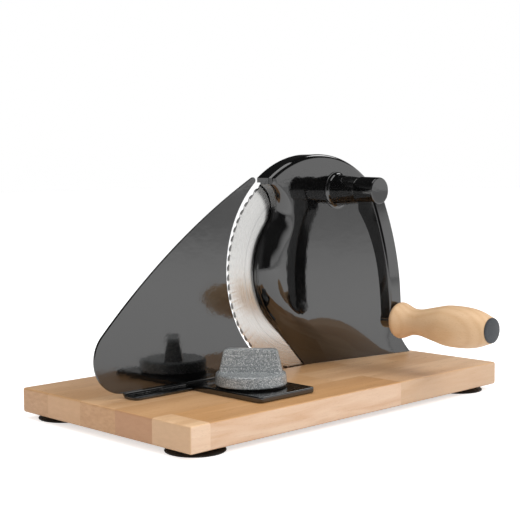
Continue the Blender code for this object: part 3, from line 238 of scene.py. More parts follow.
def dress(obj, body, slot, mat, *nodes):
    obj.data.materials.clear()
    obj.data.materials.append(mat)
    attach(obj, body)
    if nodes:
        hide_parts(*nodes)
    return obj


class Shader:
    """A material under construction: makes nodes, links sockets and sets values."""

    def __init__(self, name, colour, roughness, metallic=0.0, ior=1.5):
        self.mat = bpy.data.materials.new(name)
        self.mat.use_nodes = True
        self.tree = self.mat.node_tree
        self.out = self.tree.nodes["Principled BSDF"]
        self.put(self.out, "Base Color", (*colour, 1))
        self.put(self.out, "Roughness", roughness)
        self.put(self.out, "Metallic", metallic)
        self.put(self.out, "IOR", ior)
        self.coords = self.tree.nodes.new("ShaderNodeTexCoord").outputs["Object"]

    def put(self, node, socket, value):
        if isinstance(value, bpy.types.NodeSocket):
            self.tree.links.new(value, node.inputs[socket])
        else:
            node.inputs[socket].default_value = value

    def set(self, socket, value):
        self.put(self.out, socket, value)

    def node(self, kind, inputs=None, **settings):
        node = self.tree.nodes.new("ShaderNode" + kind)
        for key, value in settings.items():
            setattr(node, key, value)
        for socket, value in (inputs or {}).items():
            self.put(node, socket, value)
        return node

    def math(self, operation, a, b=0.0, c=0.0):
        return self.node("Math", {0: a, 1: b, 2: c}, operation=operation).outputs[0]

    def split(self, vector=None):
        node = self.node("SeparateXYZ", {0: vector or self.coords})
        return node.outputs[0], node.outputs[1], node.outputs[2]

    def join(self, x=0.0, y=0.0, z=0.0):
        return self.node("CombineXYZ", {0: x, 1: y, 2: z}).outputs[0]

    def scaled(self, factors, vector=None, shift=(0, 0, 0)):
        node = self.node("Mapping", {0: vector or self.coords, "Location": shift, "Scale": factors})
        return node.outputs[0]

    def noise(self, vector, scale, detail=3.0, roughness=0.5, distortion=0.0):
        inputs = {"Vector": vector, "Scale": scale, "Detail": detail}
        inputs.update({"Roughness": roughness, "Distortion": distortion})
        return self.node("TexNoise", inputs).outputs["Fac"]

    def ramp(self, value, stops, mode="LINEAR"):
        node = self.node("ValToRGB", {0: value})
        ramp = node.color_ramp
        ramp.interpolation = mode
        while len(ramp.elements) < len(stops):
            ramp.elements.new(0.5)
        for element, (position, tone) in zip(ramp.elements, stops):
            element.position = position
            element.color = (*tone, 1) if isinstance(tone, tuple) else (tone, tone, tone, 1)
        return node.outputs[0]

    def blend(self, share, a, b, mode="MIX"):
        node = self.node("Mix", data_type="RGBA", blend_type=mode)
        self.put(node, 0, share)
        for socket, value in ((6, a), (7, b)):
            if isinstance(value, tuple):
                value = (*value, 1)
            self.put(node, socket, value)
        return node.outputs[2]

    def map(self, value, low, high, out_low, out_high):
        inputs = {0: value, 1: low, 2: high, 3: out_low, 4: out_high}
        return self.node("MapRange", inputs).outputs[0]

    def bump(self, height, distance, strength=1.0):
        inputs = {"Height": height, "Distance": distance, "Strength": strength}
        self.set("Normal", self.node("Bump", inputs).outputs[0])
        return self


def enamel():
    """Gloss black baked enamel: near mirror, with a faint orange peel and cloudier patches."""
    s = Shader("black_enamel_gloss", (0.004, 0.004, 0.0042), 0.08, ior=2.0)
    cloud = s.noise(s.coords, 22, 3)
    s.set("Roughness", s.map(cloud, 0.35, 0.7, 0.03, 0.1))
    s.set("Base Color", s.ramp(cloud, [(0.35, (0.002, 0.002, 0.0022)), (0.7, (0.006, 0.006, 0.006))]))
    peel = s.math("MULTIPLY_ADD", s.noise(s.coords, 70, 1), 3.0, s.noise(s.coords, 380, 2))
    return s.bump(peel, 0.00005, 0.5).mat


def rubber():
    s = Shader("black_rubber_matte", (0.012, 0.012, 0.012), 0.5)
    grime = s.noise(s.coords, 90, 4)
    s.set("Base Color", s.ramp(grime, [(0.3, 0.008), (0.75, 0.022)]))
    s.set("Roughness", s.map(grime, 0.3, 0.7, 0.42, 0.62))
    return s.bump(s.noise(s.coords, 1500, 2), 0.00005, 0.4).mat


def slate():
    s = Shader("slate_plastic_fine", (0.05, 0.055, 0.062), 0.48)
    fleck = s.noise(s.coords, 1400, 2)
    s.set("Base Color", s.ramp(fleck, [(0.3, (0.04, 0.044, 0.05)), (0.7, (0.062, 0.067, 0.075))]))
    return s.bump(fleck, 0.00006, 0.35).mat


def metal(name, colour, roughness, grain=700, depth=0.00002, metallic=1.0):
    """Plain machined or plated metal with fine scratches and uneven gloss."""
    s = Shader(name, colour, roughness, metallic)
    patch = s.noise(s.coords, 120, 4)
    light = tuple(min(1, c * 1.12) for c in colour)
    dark = tuple(c * 0.82 for c in colour)
    s.set("Base Color", s.ramp(patch, [(0.3, dark), (0.7, light)]))
    s.set("Roughness", s.map(patch, 0.3, 0.7, roughness * 0.75, roughness * 1.3))
    return s.bump(s.noise(s.coords, grain, 3), depth, 0.6).mat


def hammertone():
    """Hammered silver-grey paint: small bright pebbles parted by darker veins, under clear gloss."""
    s = Shader("hammertone_paint", (0.27, 0.29, 0.3), 0.36, 0.25)
    warp = s.noise(s.coords, 500, 2)
    shifted = s.node("VectorMath", {0: s.coords, 1: s.join(s.math("MULTIPLY", warp, 0.0009))}).outputs[0]
    cells = {"Vector": shifted, "Scale": 1600}
    vein = s.map(s.node("TexVoronoi", cells, feature="DISTANCE_TO_EDGE").outputs[0], 0.0, 0.3, 0.0, 1.0)
    tones = [(0.1, (0.26, 0.285, 0.29)), (0.45, (0.5, 0.53, 0.535)), (0.75, (0.98, 0.99, 0.99))]
    pebble = s.ramp(s.node("TexVoronoi", cells).outputs["Color"], tones)
    s.set("Base Color", s.blend(vein, (0.12, 0.132, 0.137), pebble))
    s.set("Roughness", s.map(vein, 0, 1, 0.5, 0.3))
    s.set("Coat Weight", 0.6)
    s.set("Coat Roughness", 0.12)
    return s.bump(vein, 0.00008, 0.7).mat


# Lines turned into the blade's face: their radius, half their width and how dark they are
TURNED_LINES = ((0.0597, 0.0004, 0.3), (0.0671, 0.0003, 0.35))


def blade_steel():
    """Circular grinding marks, two thin turned lines, and painted shade as dark dashes in the tooth gullets
    of the ground edge.
    """
    s = Shader("ground_blade_steel", (0.8, 0.79, 0.77), 0.22, 1.0)
    x, y, _ = s.split()
    radius = s.math("SQRT", s.math("ADD", s.math("MULTIPLY", x, x), s.math("MULTIPLY", y, y)))
    angle = s.math("ARCTAN2", y, x)
    rings = s.noise(s.join(s.math("MULTIPLY", radius, 3800), s.math("MULTIPLY", angle, 0.8)), 1, 3)
    base = s.ramp(rings, [(0.25, (0.68, 0.675, 0.66)), (0.75, (0.8, 0.795, 0.78))])
    for at, width, tone in TURNED_LINES:
        near = s.math("ABSOLUTE", s.math("SUBTRACT", radius, at))
        base = s.blend(s.map(near, 0, width, 0.75, 0), base, (tone, tone, tone))
    # Painted shade: dark dashes on the teeth just inside the edge, where the gullets dip.
    turn = s.math("FRACT", s.math("MULTIPLY", angle, BLADE_TEETH / (2 * math.pi)))
    gullet_painted_shade = s.math("MULTIPLY", s.math("LESS_THAN", turn, 0.62), s.map(radius, 0.0832, 0.0838, 0.0, 0.85))
    base = s.blend(gullet_painted_shade, base, (0.09, 0.088, 0.085))
    s.set("Base Color", base)
    s.set("Roughness", s.map(rings, 0.3, 0.7, 0.16, 0.34))
    return s.bump(rings, 0.000006, 0.5).mat


def fibre(s, along, across, up, scale=1.0):
    """Beech figure from three coordinates: slow bands, fine fibres and short dark ray flecks."""
    band_at = s.join(s.math("MULTIPLY", along, 5 * scale), s.math("MULTIPLY", across, 60 * scale), up)
    band = s.noise(band_at, 1, 3, distortion=0.6)
    fine_at = s.join(
        s.math("MULTIPLY", along, 45), s.math("MULTIPLY", across, 1500), s.math("MULTIPLY", up, 1500)
    )
    fine = s.noise(fine_at, 1, 3, 0.6)
    fleck_at = s.join(
        s.math("MULTIPLY", along, 330), s.math("MULTIPLY", across, 2100), s.math("MULTIPLY", up, 2100)
    )
    fleck = s.noise(fleck_at, 1, 1)
    return band, fine, s.map(fleck, 0.62, 0.74, 0.0, 1.0)


def grip_wood():
    """Turned beech: rings of growth cut at a slant, so that they close in ovals on the belly."""
    s = Shader("turned_beech_oiled", (0.62, 0.4, 0.21), 0.34)
    x, y, z = s.split()
    bend = s.noise(s.scaled((18, 18, 9)), 1, 2)
    off_x = s.math("ADD", s.math("SUBTRACT", x, 0.028), s.math("MULTIPLY", z, 0.1))
    off_y = s.math("ADD", s.math("SUBTRACT", y, 0.006), s.math("MULTIPLY", bend, 0.006))
    radius = s.math("SQRT", s.math("ADD", s.math("MULTIPLY", off_x, off_x), s.math("MULTIPLY", off_y, off_y)))
    phase = s.math("SINE", s.math("MULTIPLY", radius, 1500))
    late = s.map(phase, -1, 1, 0, 1)
    _, fine, fleck = fibre(s, z, x, y)
    base = s.ramp(late, [(0.0, (0.78, 0.515, 0.295)), (0.6, (0.755, 0.49, 0.275)), (1.0, (0.72, 0.45, 0.24))])
    base = s.blend(s.map(fine, 0.3, 0.7, 0.0, 0.28), base, (0.86, 0.62, 0.39))
    base = s.blend(s.math("MULTIPLY", fleck, 0.3), base, (0.46, 0.25, 0.11))
    s.set("Base Color", base)
    s.set("Roughness", s.map(fine, 0.3, 0.7, 0.3, 0.42))
    return s.bump(fine, 0.00004, 0.4).mat


# Staves of the board: their edges across it, their finger joints as (stave, place along it), the tone of
# each block, and for some staves the share and colour of their end grain
STAVE_EDGES = (-0.0583, -0.0176, 0.0237, 0.0641)
JOINTS = (
    (0, -0.1552), (0, 0.0442), (1, 0.012), (1, 0.118), (2, -0.06),
    (2, 0.075), (3, -0.11), (3, 0.03), (4, -0.02), (4, 0.1),
)
BLOCK_TONES = ((0.9, 0.0, 0.6), (0.25, 0.55, 0.15), (0.5, 0.1, 0.75), (0.3, 0.8, 0.05), (0.45, 0.0, 0.6))
END_TONES = ((0, 0.6, (0.74, 0.5, 0.31)), (1, 0.7, (0.5, 0.255, 0.135)), (3, 0.6, (0.66, 0.4, 0.215)))
# Blocks are numbered along each stave; the first number of the next stave is this much higher
BLOCK_STEP = 7


def board_wood():
    """Beech staves glued side by side, each of finger-jointed blocks that differ in tone and figure; the long
    sides also carry painted light, paler than the top.
    """
    s = Shader("board_beech_oiled", (0.6, 0.4, 0.22), 0.3)
    x, y, z = s.split()
    stave = 0.0
    for edge in STAVE_EDGES:
        stave = s.math("ADD", stave, s.math("GREATER_THAN", y, edge))
    block = s.math("MULTIPLY", stave, BLOCK_STEP)
    for row, at in JOINTS:
        here = s.math("COMPARE", stave, row, 0.5)
        block = s.math("ADD", block, s.math("MULTIPLY", here, s.math("GREATER_THAN", x, at)))
    chance = s.node("TexWhiteNoise", {"W": s.math("ADD", block, 3.37)}, noise_dimensions="1D").outputs
    along = s.math("ADD", x, s.math("MULTIPLY", block, 0.731))
    across = s.math("ADD", y, s.math("MULTIPLY", block, 0.173))
    up = s.math("ADD", z, s.math("MULTIPLY", chance["Value"], 0.4))
    band, fine, fleck = fibre(s, along, s.math("ADD", across, s.math("MULTIPLY", up, 0.7)), up)
    slow = s.noise(s.join(s.math("MULTIPLY", along, 8), s.math("MULTIPLY", across, 42), up), 1, 2)
    figure = [(0.3, (0.51, 0.25, 0.09)), (0.55, (0.6, 0.315, 0.125)), (0.75, (0.68, 0.385, 0.175))]
    last = BLOCK_STEP * len(BLOCK_TONES)
    steps = []
    for row, tones in enumerate(BLOCK_TONES):
        steps += [((BLOCK_STEP * row + k - 0.5) / last, tone) for k, tone in enumerate(tones)]
    paler = s.ramp(s.math("DIVIDE", block, last), steps, "CONSTANT")
    base = s.blend(paler, s.ramp(band, figure), (0.86, 0.58, 0.35))
    base = s.blend(s.map(slow, 0.42, 0.62, 0.0, 0.55), base, (0.52, 0.265, 0.105))
    base = s.blend(s.map(fine, 0.3, 0.72, 0.0, 0.25), base, (0.84, 0.55, 0.31))
    base = s.blend(s.math("MULTIPLY", fleck, 0.35), base, (0.42, 0.2, 0.085))
    facing_x, facing_y, _ = s.split(s.node("NewGeometry").outputs["Normal"])
    # Painted light: the long sides take their own flame figure, which is real side grain, but are painted
    # much paler than the top, as light falling on the near side.
    side_grain_and_painted_light = s.map(s.math("ABSOLUTE", facing_y), 0.6, 0.85, 0.0, 0.78)
    flame_at = s.join(s.math("MULTIPLY", along, 16), across, s.math("MULTIPLY", z, 150))
    flame = s.noise(flame_at, 1, 4, distortion=0.8)
    # Pale side tones: painted light on the sides, over a real flame figure and fleck.
    light = s.ramp(flame, [(0.3, (0.72, 0.47, 0.31)), (0.5, (0.8, 0.57, 0.41)), (0.7, (0.86, 0.65, 0.49))])
    light = s.blend(s.math("MULTIPLY", fleck, 0.3), light, (0.5, 0.28, 0.15))
    darker = s.math("COMPARE", block, 2, 0.5)
    light = s.blend(s.math("MULTIPLY", darker, 0.5), light, (0.56, 0.36, 0.2))
    base = s.blend(side_grain_and_painted_light, base, light)
    seam = 1.0
    for edge in STAVE_EDGES:
        seam = s.math("MINIMUM", seam, s.math("ABSOLUTE", s.math("SUBTRACT", y, edge)))
    base = s.blend(s.map(seam, 0, 0.0004, 0.35, 0), base, (0.36, 0.2, 0.1))
    end_at = s.join(s.math("MULTIPLY", y, 160), s.math("MULTIPLY", z, 420), s.math("MULTIPLY", block, 3.1))
    pores = s.noise(s.join(s.math("MULTIPLY", y, 1400), s.math("MULTIPLY", z, 1400), block), 1, 2)
    end = s.ramp(s.noise(end_at, 1, 3), [(0.3, (0.52, 0.28, 0.13)), (0.7, (0.62, 0.36, 0.185))])
    end = s.blend(s.map(pores, 0.5, 0.75, 0.0, 0.3), end, (0.42, 0.21, 0.1))
    for row, share, tone in END_TONES:
        end = s.blend(s.math("MULTIPLY", s.math("COMPARE", stave, row, 0.5), share), end, tone)
    at_end = s.map(s.math("ABSOLUTE", facing_x), 0.6, 0.85, 0.0, 1.0)
    s.set("Base Color", s.blend(at_end, base, end))
    s.set("Roughness", s.map(fine, 0.3, 0.7, 0.26, 0.42))
    return s.bump(fine, 0.00004, 0.5).mat


def board(mat):
    middle = axis_matrix((0, 0, (TOP + BOARD_LIFT) / 2))
    body = bevel(box("board_staved", (BOARD_L, BOARD_W, TOP - BOARD_LIFT), middle), 0.0019, 4)
    dip = BLADE_R - BLADE_RISE
    half = math.sqrt(BLADE_R**2 - BLADE_RISE**2) + 0.004
    slot_at = axis_matrix((BLADE_X, BLADE_Y + BLADE_T / 2, TOP))
    boolean(body, box("slot", (2 * half, 0.0043, 2 * (dip + 0.0028)), slot_at))
    for x, near, _ in HOUSING_SCREWS:
        sink = axis_matrix((BLADE_X + x, BLADE_Y - near, BOARD_LIFT))
        boolean(body, rod("screw_sink", 0.0041, -0.001, 0.0034, sink))
    boolean(body, rod("bolt_sink", 0.0078, -0.001, 0.0036, axis_matrix((SLIDE_X, KNOB_Y, BOARD_LIFT))))
    baked(body)
    dress(body, "frame", "beech", mat, "board")


def feet(mat, steel):
    """Low suction cups with a thin lip, each held by a screw."""
    top = BOARD_LIFT - GAP
    hollow = top - 0.0019
    cup = [(0.0022, top), (0.009, top), (0.0125, 0.0034), (0.0165, 0.0023), (0.0192, 0.0015)]
    cup += [(0.0206, 0.0012), (0.02105, 0.0009), (0.02125, 0.0005), (0.02115, 0.0002), (0.0209, 0)]
    cup += [(0.0196, 0), (0.0192, 0.0002), (0.016, 0.0009), (0.012, 0.0017), (0.009, hollow)]
    cup.append((0.0022, hollow))
    head = hollow - GAP
    screw = [(0, head + 0.001), (0.0041, head + 0.001), (0.0042, head), (0.0039, head - 0.0006)]
    screw += [(0.003, head - 0.0011), (0.0016, head - 0.0013), (0, head - 0.0013)]
    for side, x in (("left", -FOOT_X), ("right", FOOT_X)):
        for row, y in (("near", -FOOT_Y), ("far", FOOT_Y)):
            at = axis_matrix((x, y, 0))
            foot = turned(f"suction_foot_{row}_{side}", cup, at, 96, 50)
            dress(foot, "frame", "black_rubber", mat, f"foot_{row}_{side}")
            cross = turned(f"foot_screw_crossed_{row}_{side}", screw, at, 40)
            for turn in (0, math.pi / 2):
                place = at @ Matrix.Translation((0, 0, head - 0.0013)) @ Matrix.Rotation(turn, 4, "Z")
                boolean(cross, box("cross", (0.0042, 0.0007, 0.0014), place))
            dress(baked(cross), "frame", "zinc_steel", steel, f"foot_screw_{row}_{side}")


# Housing, drawn about the blade's axis; its third coordinate grows from the blade towards the crank arm
WALL = 0.0024
RIM_COVER = 0.003
RIM_R = 0.09881
RIM = (0.0083, -0.0042)
RIM_ROUND = 0.004
RIM_TIP = math.radians(126.05)
WINDOW_R = 0.0576
CREST_R = 0.039
HOOK_R = 0.0205
HOOK_BEARING = math.radians(138.4)
WINDOW_FOOT = 0.0018
FLANK_FOOT = 0.0485
SIDE_LEAN = 0.0033
FOOT_FLARE = 0.0108
FOOT_FLARE_H = 0.026
FLARE_POWER = 1.6
SKIRT_H = 0.045
SKIRT_LEFT_BACK = 0.0137
SKIRT_RIGHT_OUT = 0.0085
FACE_CENTRE = (0.0343, 0.0348)
HIDDEN_TURN = math.radians(9)
HOOK_CLOSE = math.radians(13)
CORNER_X = RIM[0] + RIM_R + SIDE_LEAN + FOOT_FLARE
BLADE_GAP = 0.0007
ROUNDING = 14
FACE_RINGS = 12


def face_height(x, y, wall):
    """Height of the near side over the blade's near face: flat, with a skirt that leans to the foot line."""
    over_board = max(y + BLADE_RISE, 0)
    lean = max(1 - over_board / SKIRT_H, 0) ** FLARE_POWER
    share = (x - WINDOW_FOOT) / (CORNER_X - WINDOW_FOOT)
    return FACE - wall + lean * mixed(-SKIRT_LEFT_BACK, SKIRT_RIGHT_OUT, share)


def leaving_line(radius, foot_x, low):
    """Bearing and place at which the line from a point on the board leaves a circle, and its end below."""
    foot = (foot_x, -BLADE_RISE)
    leave = math.atan2(foot[1], foot[0]) + 2 * math.pi - math.acos(radius / math.hypot(*foot))
    touch = polar(radius, leave)
    slope = (foot[0] - touch[0]) / (foot[1] - touch[1])
    return leave, touch, (foot[0] + slope * (low - foot[1]), low)


def housing_contour(wall, hidden):
    """Entries of (outer point, face point, where the rounding starts, straightness) round the housing."""
    low = -BLADE_RISE - hidden
    edge = FACE - RIM_ROUND
    start = RIM_TIP - HIDDEN_TURN if wall > 0 else RIM_TIP
    pairs = []
    for k in range(110):
        angle = start * (1 - k / 109)
        inner = min(angle, RIM_TIP - RIM_ROUND / RIM_R)
        pairs.append((polar(RIM_R, angle, RIM), polar(RIM_R - RIM_ROUND, inner, RIM), edge, 0))
    for k in range(1, 33):
        y = mixed(RIM[1], low, (k / 32) ** 0.8)
        flare = max(1 - max(y + BLADE_RISE, 0) / FOOT_FLARE_H, 0) ** FLARE_POWER
        lean = (RIM[1] - y) / (RIM[1] + BLADE_RISE)
        x = RIM[0] + RIM_R + SIDE_LEAN * min(lean, 1) + FOOT_FLARE * flare
        pairs.append(((x, y), (x - RIM_ROUND, y), edge, 0))
    leave, touch, below = leaving_line(WINDOW_R, WINDOW_FOOT, low)
    crest_leave, crest_touch, crest_below = leaving_line(CREST_R, FLANK_FOOT, low)
    flank = []
    for k in range(28):
        share = k / 27
        outer = tuple(mixed(a, b, share) for a, b in zip(below, touch))
        inner = tuple(mixed(a, b, share) for a, b in zip(crest_below, crest_touch))
        flank.append((outer, inner, BLADE_GAP, 1 - smooth(share)))
    for k in range(1, 41):
        outer = mixed(leave, HOOK_BEARING, k / 40)
        inner = mixed(crest_leave, HOOK_BEARING, k / 40)
        flank.append((polar(WINDOW_R, outer), polar(CREST_R, inner), BLADE_GAP, 0))
    hook = polar(WINDOW_R + HOOK_R, HOOK_BEARING)
    begin = HOOK_BEARING - math.pi
    end = math.acos((polar(RIM_R, RIM_TIP, RIM)[0] - hook[0]) / HOOK_R)
    stop = 0.72 if wall > 0 else 1
    for k in range(1, 37):
        share = stop * k / 36
        outer = polar(HOOK_R, mixed(begin, end, share), hook)
        reach = HOOK_R + mixed(WINDOW_R - CREST_R, RIM_ROUND, smooth(share))
        inner = polar(reach, mixed(begin, end - HOOK_CLOSE, share), hook)
        flank.append((outer, inner, mixed(BLADE_GAP, edge, smooth(share)), 0))
    first = pairs[-1]
    last = flank[0]
    for k in range(1, 24):
        outer = tuple(mixed(a, b, k / 24) for a, b in zip(first[0], last[0]))
        inner = (mixed(first[1][0], last[1][0], k / 24), low + 0.0004)
        pairs.append((outer, inner, mixed(first[2], last[2], k / 24), 1))
    return pairs + flank


def housing_solid(name, wall, back, hidden):
    """The shell's outside, or with a wall the hollow in it; hidden is how far it goes on below the board."""
    rings = [[] for _ in range(2 + ROUNDING + FACE_RINGS)]
    for outer, inner, start, straight in housing_contour(wall, hidden):
        across = Vector(inner) - Vector(outer)
        face = face_height(*inner, wall)
        begin = min(start, face - 0.0002)
        if wall and across.length > 0.001:
            slant = math.hypot(across.length, face + wall - begin) / (face + wall - begin)
            shift = min(wall * mixed(1, slant, straight), 0.9 * across.length)
            outer = tuple(Vector(outer) + across.normalized() * shift)
            across = Vector(inner) - Vector(outer)
        rings[0].append((*outer, back))
        rings[1].append((*outer, begin))
        for k in range(1, ROUNDING + 1):
            turn = math.pi / 2 * k / ROUNDING
            over = mixed(1 - math.cos(turn), k / ROUNDING, straight)
            up = mixed(math.sin(turn), k / ROUNDING, straight)
            point = (outer[0] + across.x * over, outer[1] + across.y * over, mixed(begin, face, up))
            rings[1 + k].append(point)
        for k in range(FACE_RINGS):
            share = 0.88 * (k + 1) / FACE_RINGS
            x = mixed(inner[0], FACE_CENTRE[0], share)
            y = mixed(inner[1], FACE_CENTRE[1], share)
            rings[2 + ROUNDING + k].append((x, y, face_height(x, y, wall)))
    bm = bmesh.new()
    loops = [[bm.verts.new(point) for point in row] for row in rings]
    count = len(loops[0])
    for first, second in zip(loops, loops[1:]):
        for k in range(count):
            after = (k + 1) % count
            bm.faces.new((first[k], second[k], second[after], first[after]))
    bm.faces.new(loops[0])
    bm.faces.new(reversed(loops[-1]))
    bmesh.ops.recalc_face_normals(bm, faces=bm.faces)
    return made(name, bm, HOUSING_AT)


def housing(mat):
    shell = housing_solid("housing_shell", 0, -RIM_COVER, 0.003)
    hollow = housing_solid("hollow", WALL, -RIM_COVER - 0.002, 0.006)
    for x, near, radius in HOUSING_SCREWS:
        boolean(hollow, rod("boss", radius, -0.02, 0.016, axis_matrix((BLADE_X + x, BLADE_Y - near, TOP))))
    boolean(shell, hollow)
    neck = [(0, NECK_END), (0.0103, NECK_END), (0.01058, NECK_END - 0.0001), (0.0107, NECK_END - 0.0004)]
    neck.append((0.0129, FACE + 0.0042))
    for k in range(1, 13):
        turn = math.pi / 2 * k / 12
        radius = mixed(0.0129, 0.0158, 1 - math.cos(turn))
        neck.append((radius, FACE + 0.0036 * (1 - math.sin(turn)) + 0.0006))
    neck += [(0.0158, FACE - 0.001), (0, FACE - 0.001)]
    boolean(shell, turned("neck", neck, NECK_AT, 96), "UNION")
    boolean(shell, rod("axle_boss", 0.0095, 0.008, FACE - 0.001, HOUSING_AT, 64), "UNION")
    boolean(shell, rod("neck_bore", 0.0072, FACE - WALL - 0.002, NECK_END + 0.001, NECK_AT, 64))
    boolean(shell, rod("axle_bore", 0.0053, 0.007, 0.0123, HOUSING_AT, 48))
    boolean(shell, rod("blade_room", BLADE_R + 0.0022, -RIM_COVER - 0.004, BLADE_GAP, HOUSING_AT, 240))
    boolean(shell, box("board_room", (2, 2, 0.1), axis_matrix((0, 0, TOP + GAP - 0.05))))
    for modifier in [*hollow.modifiers, *shell.modifiers]:
        modifier.solver = "MANIFOLD"
    baked(shell, 32, weighted=True)
    dress(shell, "frame", "black_enamel", mat, "housing")


def arm_near_side(down):
    return ARM_NEAR - 0.0166 * max(1 - down / (0.8 * CRANK_R), 0) ** 2


def arm_back(down):
    return max(ARM_NEAR - ARM_END_W - 0.0327 * (1 - down / CRANK_R) ** 3.15, BOSS_BACK + 0.0005)


def crank(mat):
    """Boss, curved arm that thins towards its end, and the eye for the grip's spindle."""
    near = BOSS_BACK + BOSS_L
    profile = [(0, near), (0.01, near), (0.0104, near - 0.0001), (0.0108, near - 0.0004)]
    profile += [(0.01095, near - 0.0009), (0.011, near - 0.0014), (0.0114, BOSS_BACK + 0.0006)]
    profile += [(0.01125, BOSS_BACK + 0.0002), (0.0109, BOSS_BACK), (0, BOSS_BACK)]
    arm = turned("crank_arm_cast", profile, CRANK_AT, 96)
    downs = [mixed(0.0046, CRANK_R, k / 48) for k in range(49)]
    front = [(arm_near_side(down), -down) for down in downs]
    back = [(arm_back(down), -down) for down in downs]
    side = CRANK_AT @ Matrix.Rotation(-math.pi / 2, 4, "Y")
    web = bevel(extruded("web", front + back[::-1], -ARM_W / 2, ARM_W / 2, side), 0.002, 6)
    boolean(arm, web, "UNION")
    eye = [(0, ARM_NEAR - 0.0002), (ARM_W / 2 - 0.0005, ARM_NEAR - 0.0002), (ARM_W / 2, ARM_NEAR - 0.0007)]
    eye += [(ARM_W / 2, EYE_BACK + 0.0005), (ARM_W / 2 - 0.0005, EYE_BACK), (0, EYE_BACK)]
    boolean(arm, turned("eye", eye, EYE_AT, 64), "UNION")
    boolean(arm, rod("shaft_bore", 0.0053, BOSS_BACK - 0.001, BOSS_BACK + 0.0148, CRANK_AT))
    boolean(arm, rod("grub_hole", 0.0023, 0.005, 0.0123, GRUB_AT, 32))
    boolean(arm, rod("head_seat", 0.0059, BOSS_BACK, EYE_BACK, EYE_AT))
    boolean(arm, rod("spindle_hole", 0.0038, BOSS_BACK, ARM_NEAR + 0.002, EYE_AT))
    baked(arm, 30, weighted=True)
    dress(arm, "crank", "black_enamel", mat, "crank_arm")


def grub_screw(mat):
    profile = [(0, 0.0108), (0.0017, 0.0108), (0.002, 0.0105), (0.002, 0.0053), (0, 0.0053)]
    screw = turned("crank_grub_screw_hex", profile, GRUB_AT, 32)
    boolean(screw, rod("hex", 0.0012, 0.0085, 0.012, GRUB_AT, 6))
    dress(baked(screw), "crank", "zinc_steel", mat, "crank_grub_screw")


# Grip, from its end at the arm: (distance along it, radius)
GRIP_STATIONS = (
    (0.0, 0.0112),
    (0.0004, 0.0128),
    (0.0014, 0.014),
    (0.0038, 0.0148),
    (0.0082, 0.0135),
    (0.0126, 0.0118),
    (0.0175, 0.0107),
    (0.0245, 0.0108),
    (0.032, 0.0123),
    (0.0415, 0.0144),
    (0.0495, 0.016),
    (0.0595, 0.0164),
    (0.0705, 0.0159),
    (0.08, 0.0141),
    (GRIP_L, 0.0102),
)


def fine_curve(points, per):
    """A smooth curve through the points, with several steps between each two."""
    fine = []
    last = len(points) - 1
    for k in range(last):
        corners = [Vector(points[min(max(j, 0), last)]) for j in (k - 1, k, k + 1, k + 2)]
        lengths = [max((b - a).length, 1e-6) for a, b in zip(corners, corners[1:])]
        start = (corners[2] - corners[0]) * (lengths[1] / (lengths[0] + lengths[1]))
        end = (corners[3] - corners[1]) * (lengths[1] / (lengths[1] + lengths[2]))
        for j in range(per):
            t = j / per
            point = corners[1] * (2 * t**3 - 3 * t**2 + 1) + start * (t**3 - 2 * t**2 + t)
            point += corners[2] * (3 * t**2 - 2 * t**3) + end * (t**3 - t**2)
            fine.append(tuple(point))
    return fine + [tuple(points[-1])]


def grip(wood, slate):
    outer = [(radius, station) for station, radius in fine_curve(GRIP_STATIONS, 6)]
    floor = 0.084
    inner = [(0.0038, 0), (0.0038, floor), (0.0066, floor), (0.0066, GRIP_L)]
    handle = turned("grip_turned", outer[::-1] + inner, GRIP_AT, 96, 60)
    dress(handle, "grip", "turned_beech", wood, "grip")
    seat = GRIP_L + GAP
    cap = [(0, seat + 0.002)]
    for k in range(1, 9):
        share = k / 8
        cap.append((0.0093 * share, seat + 0.0012 + 0.0008 * (1 - share * share)))
    cap += [(0.0097, seat + 0.0009), (0.0098, seat + 0.0006), (0.0098, seat), (0.0063, seat)]
    cap += [(0.0063, seat - 0.0022), (0, seat - 0.0022)]
    dress(turned("grip_cap_domed", cap, GRIP_AT, 96, 40), "grip", "slate_plastic", slate, "grip_cap")


def circles_meet(first, first_r, second, second_r):
    """Where two circles cross, on the right of the way from the first centre to the second."""
    apart = math.dist(first, second)
    along = (first_r**2 - second_r**2 + apart**2) / (2 * apart)
    off = math.sqrt(first_r**2 - along**2)
    ux = (second[0] - first[0]) / apart
    uy = (second[1] - first[1]) / apart
    return (first[0] + ux * along + uy * off, first[1] + uy * along - ux * off)


PLATE_T = 0.002
STOP_LEFT = -0.1935
STOP_RIGHT = -0.0445
STOP_REACH = 0.0125
STOP_TIP_R = 0.0025
STOP_CORNER_R = 0.0256
STOP_BACK_R = 0.6
STRIP_H = 0.0043
SLOT_R = 0.0033
BEND_R = 0.0024
SHEET_LOW = -BLADE_RISE + GAP


def stop_outline():
    """The upright's outline: an arc beside the blade, a rounded tip, a long back and a round corner."""
    hollow = (0, 0.0027)
    radius = BLADE_R + 0.0066
    tip_bearing = math.radians(131.1)
    foot = SHEET_LOW + PLATE_T / 2
    low = math.pi - math.asin((foot - hollow[1]) / radius)
    tip = polar(radius + STOP_TIP_R, tip_bearing, hollow)
    corner = (-0.2205 + STOP_CORNER_R, -BLADE_RISE + 0.0297)
    back = circles_meet(corner, STOP_BACK_R - STOP_CORNER_R, tip, STOP_BACK_R - STOP_TIP_R)
    at_tip = math.atan2(tip[1] - back[1], tip[0] - back[0])
    at_corner = math.atan2(corner[1] - back[1], corner[0] - back[0])
    points = [(STOP_LEFT, foot)]
    points += arc(hollow, radius, low, tip_bearing, 90)
    points += arc(tip, STOP_TIP_R, tip_bearing - math.pi, at_tip, 20)[1:]
    points += arc(back, STOP_BACK_R, at_tip, at_corner, 60)[1:]
    points += arc(corner, STOP_CORNER_R, at_corner, 1.5 * math.pi, 60)[1:]
    return points


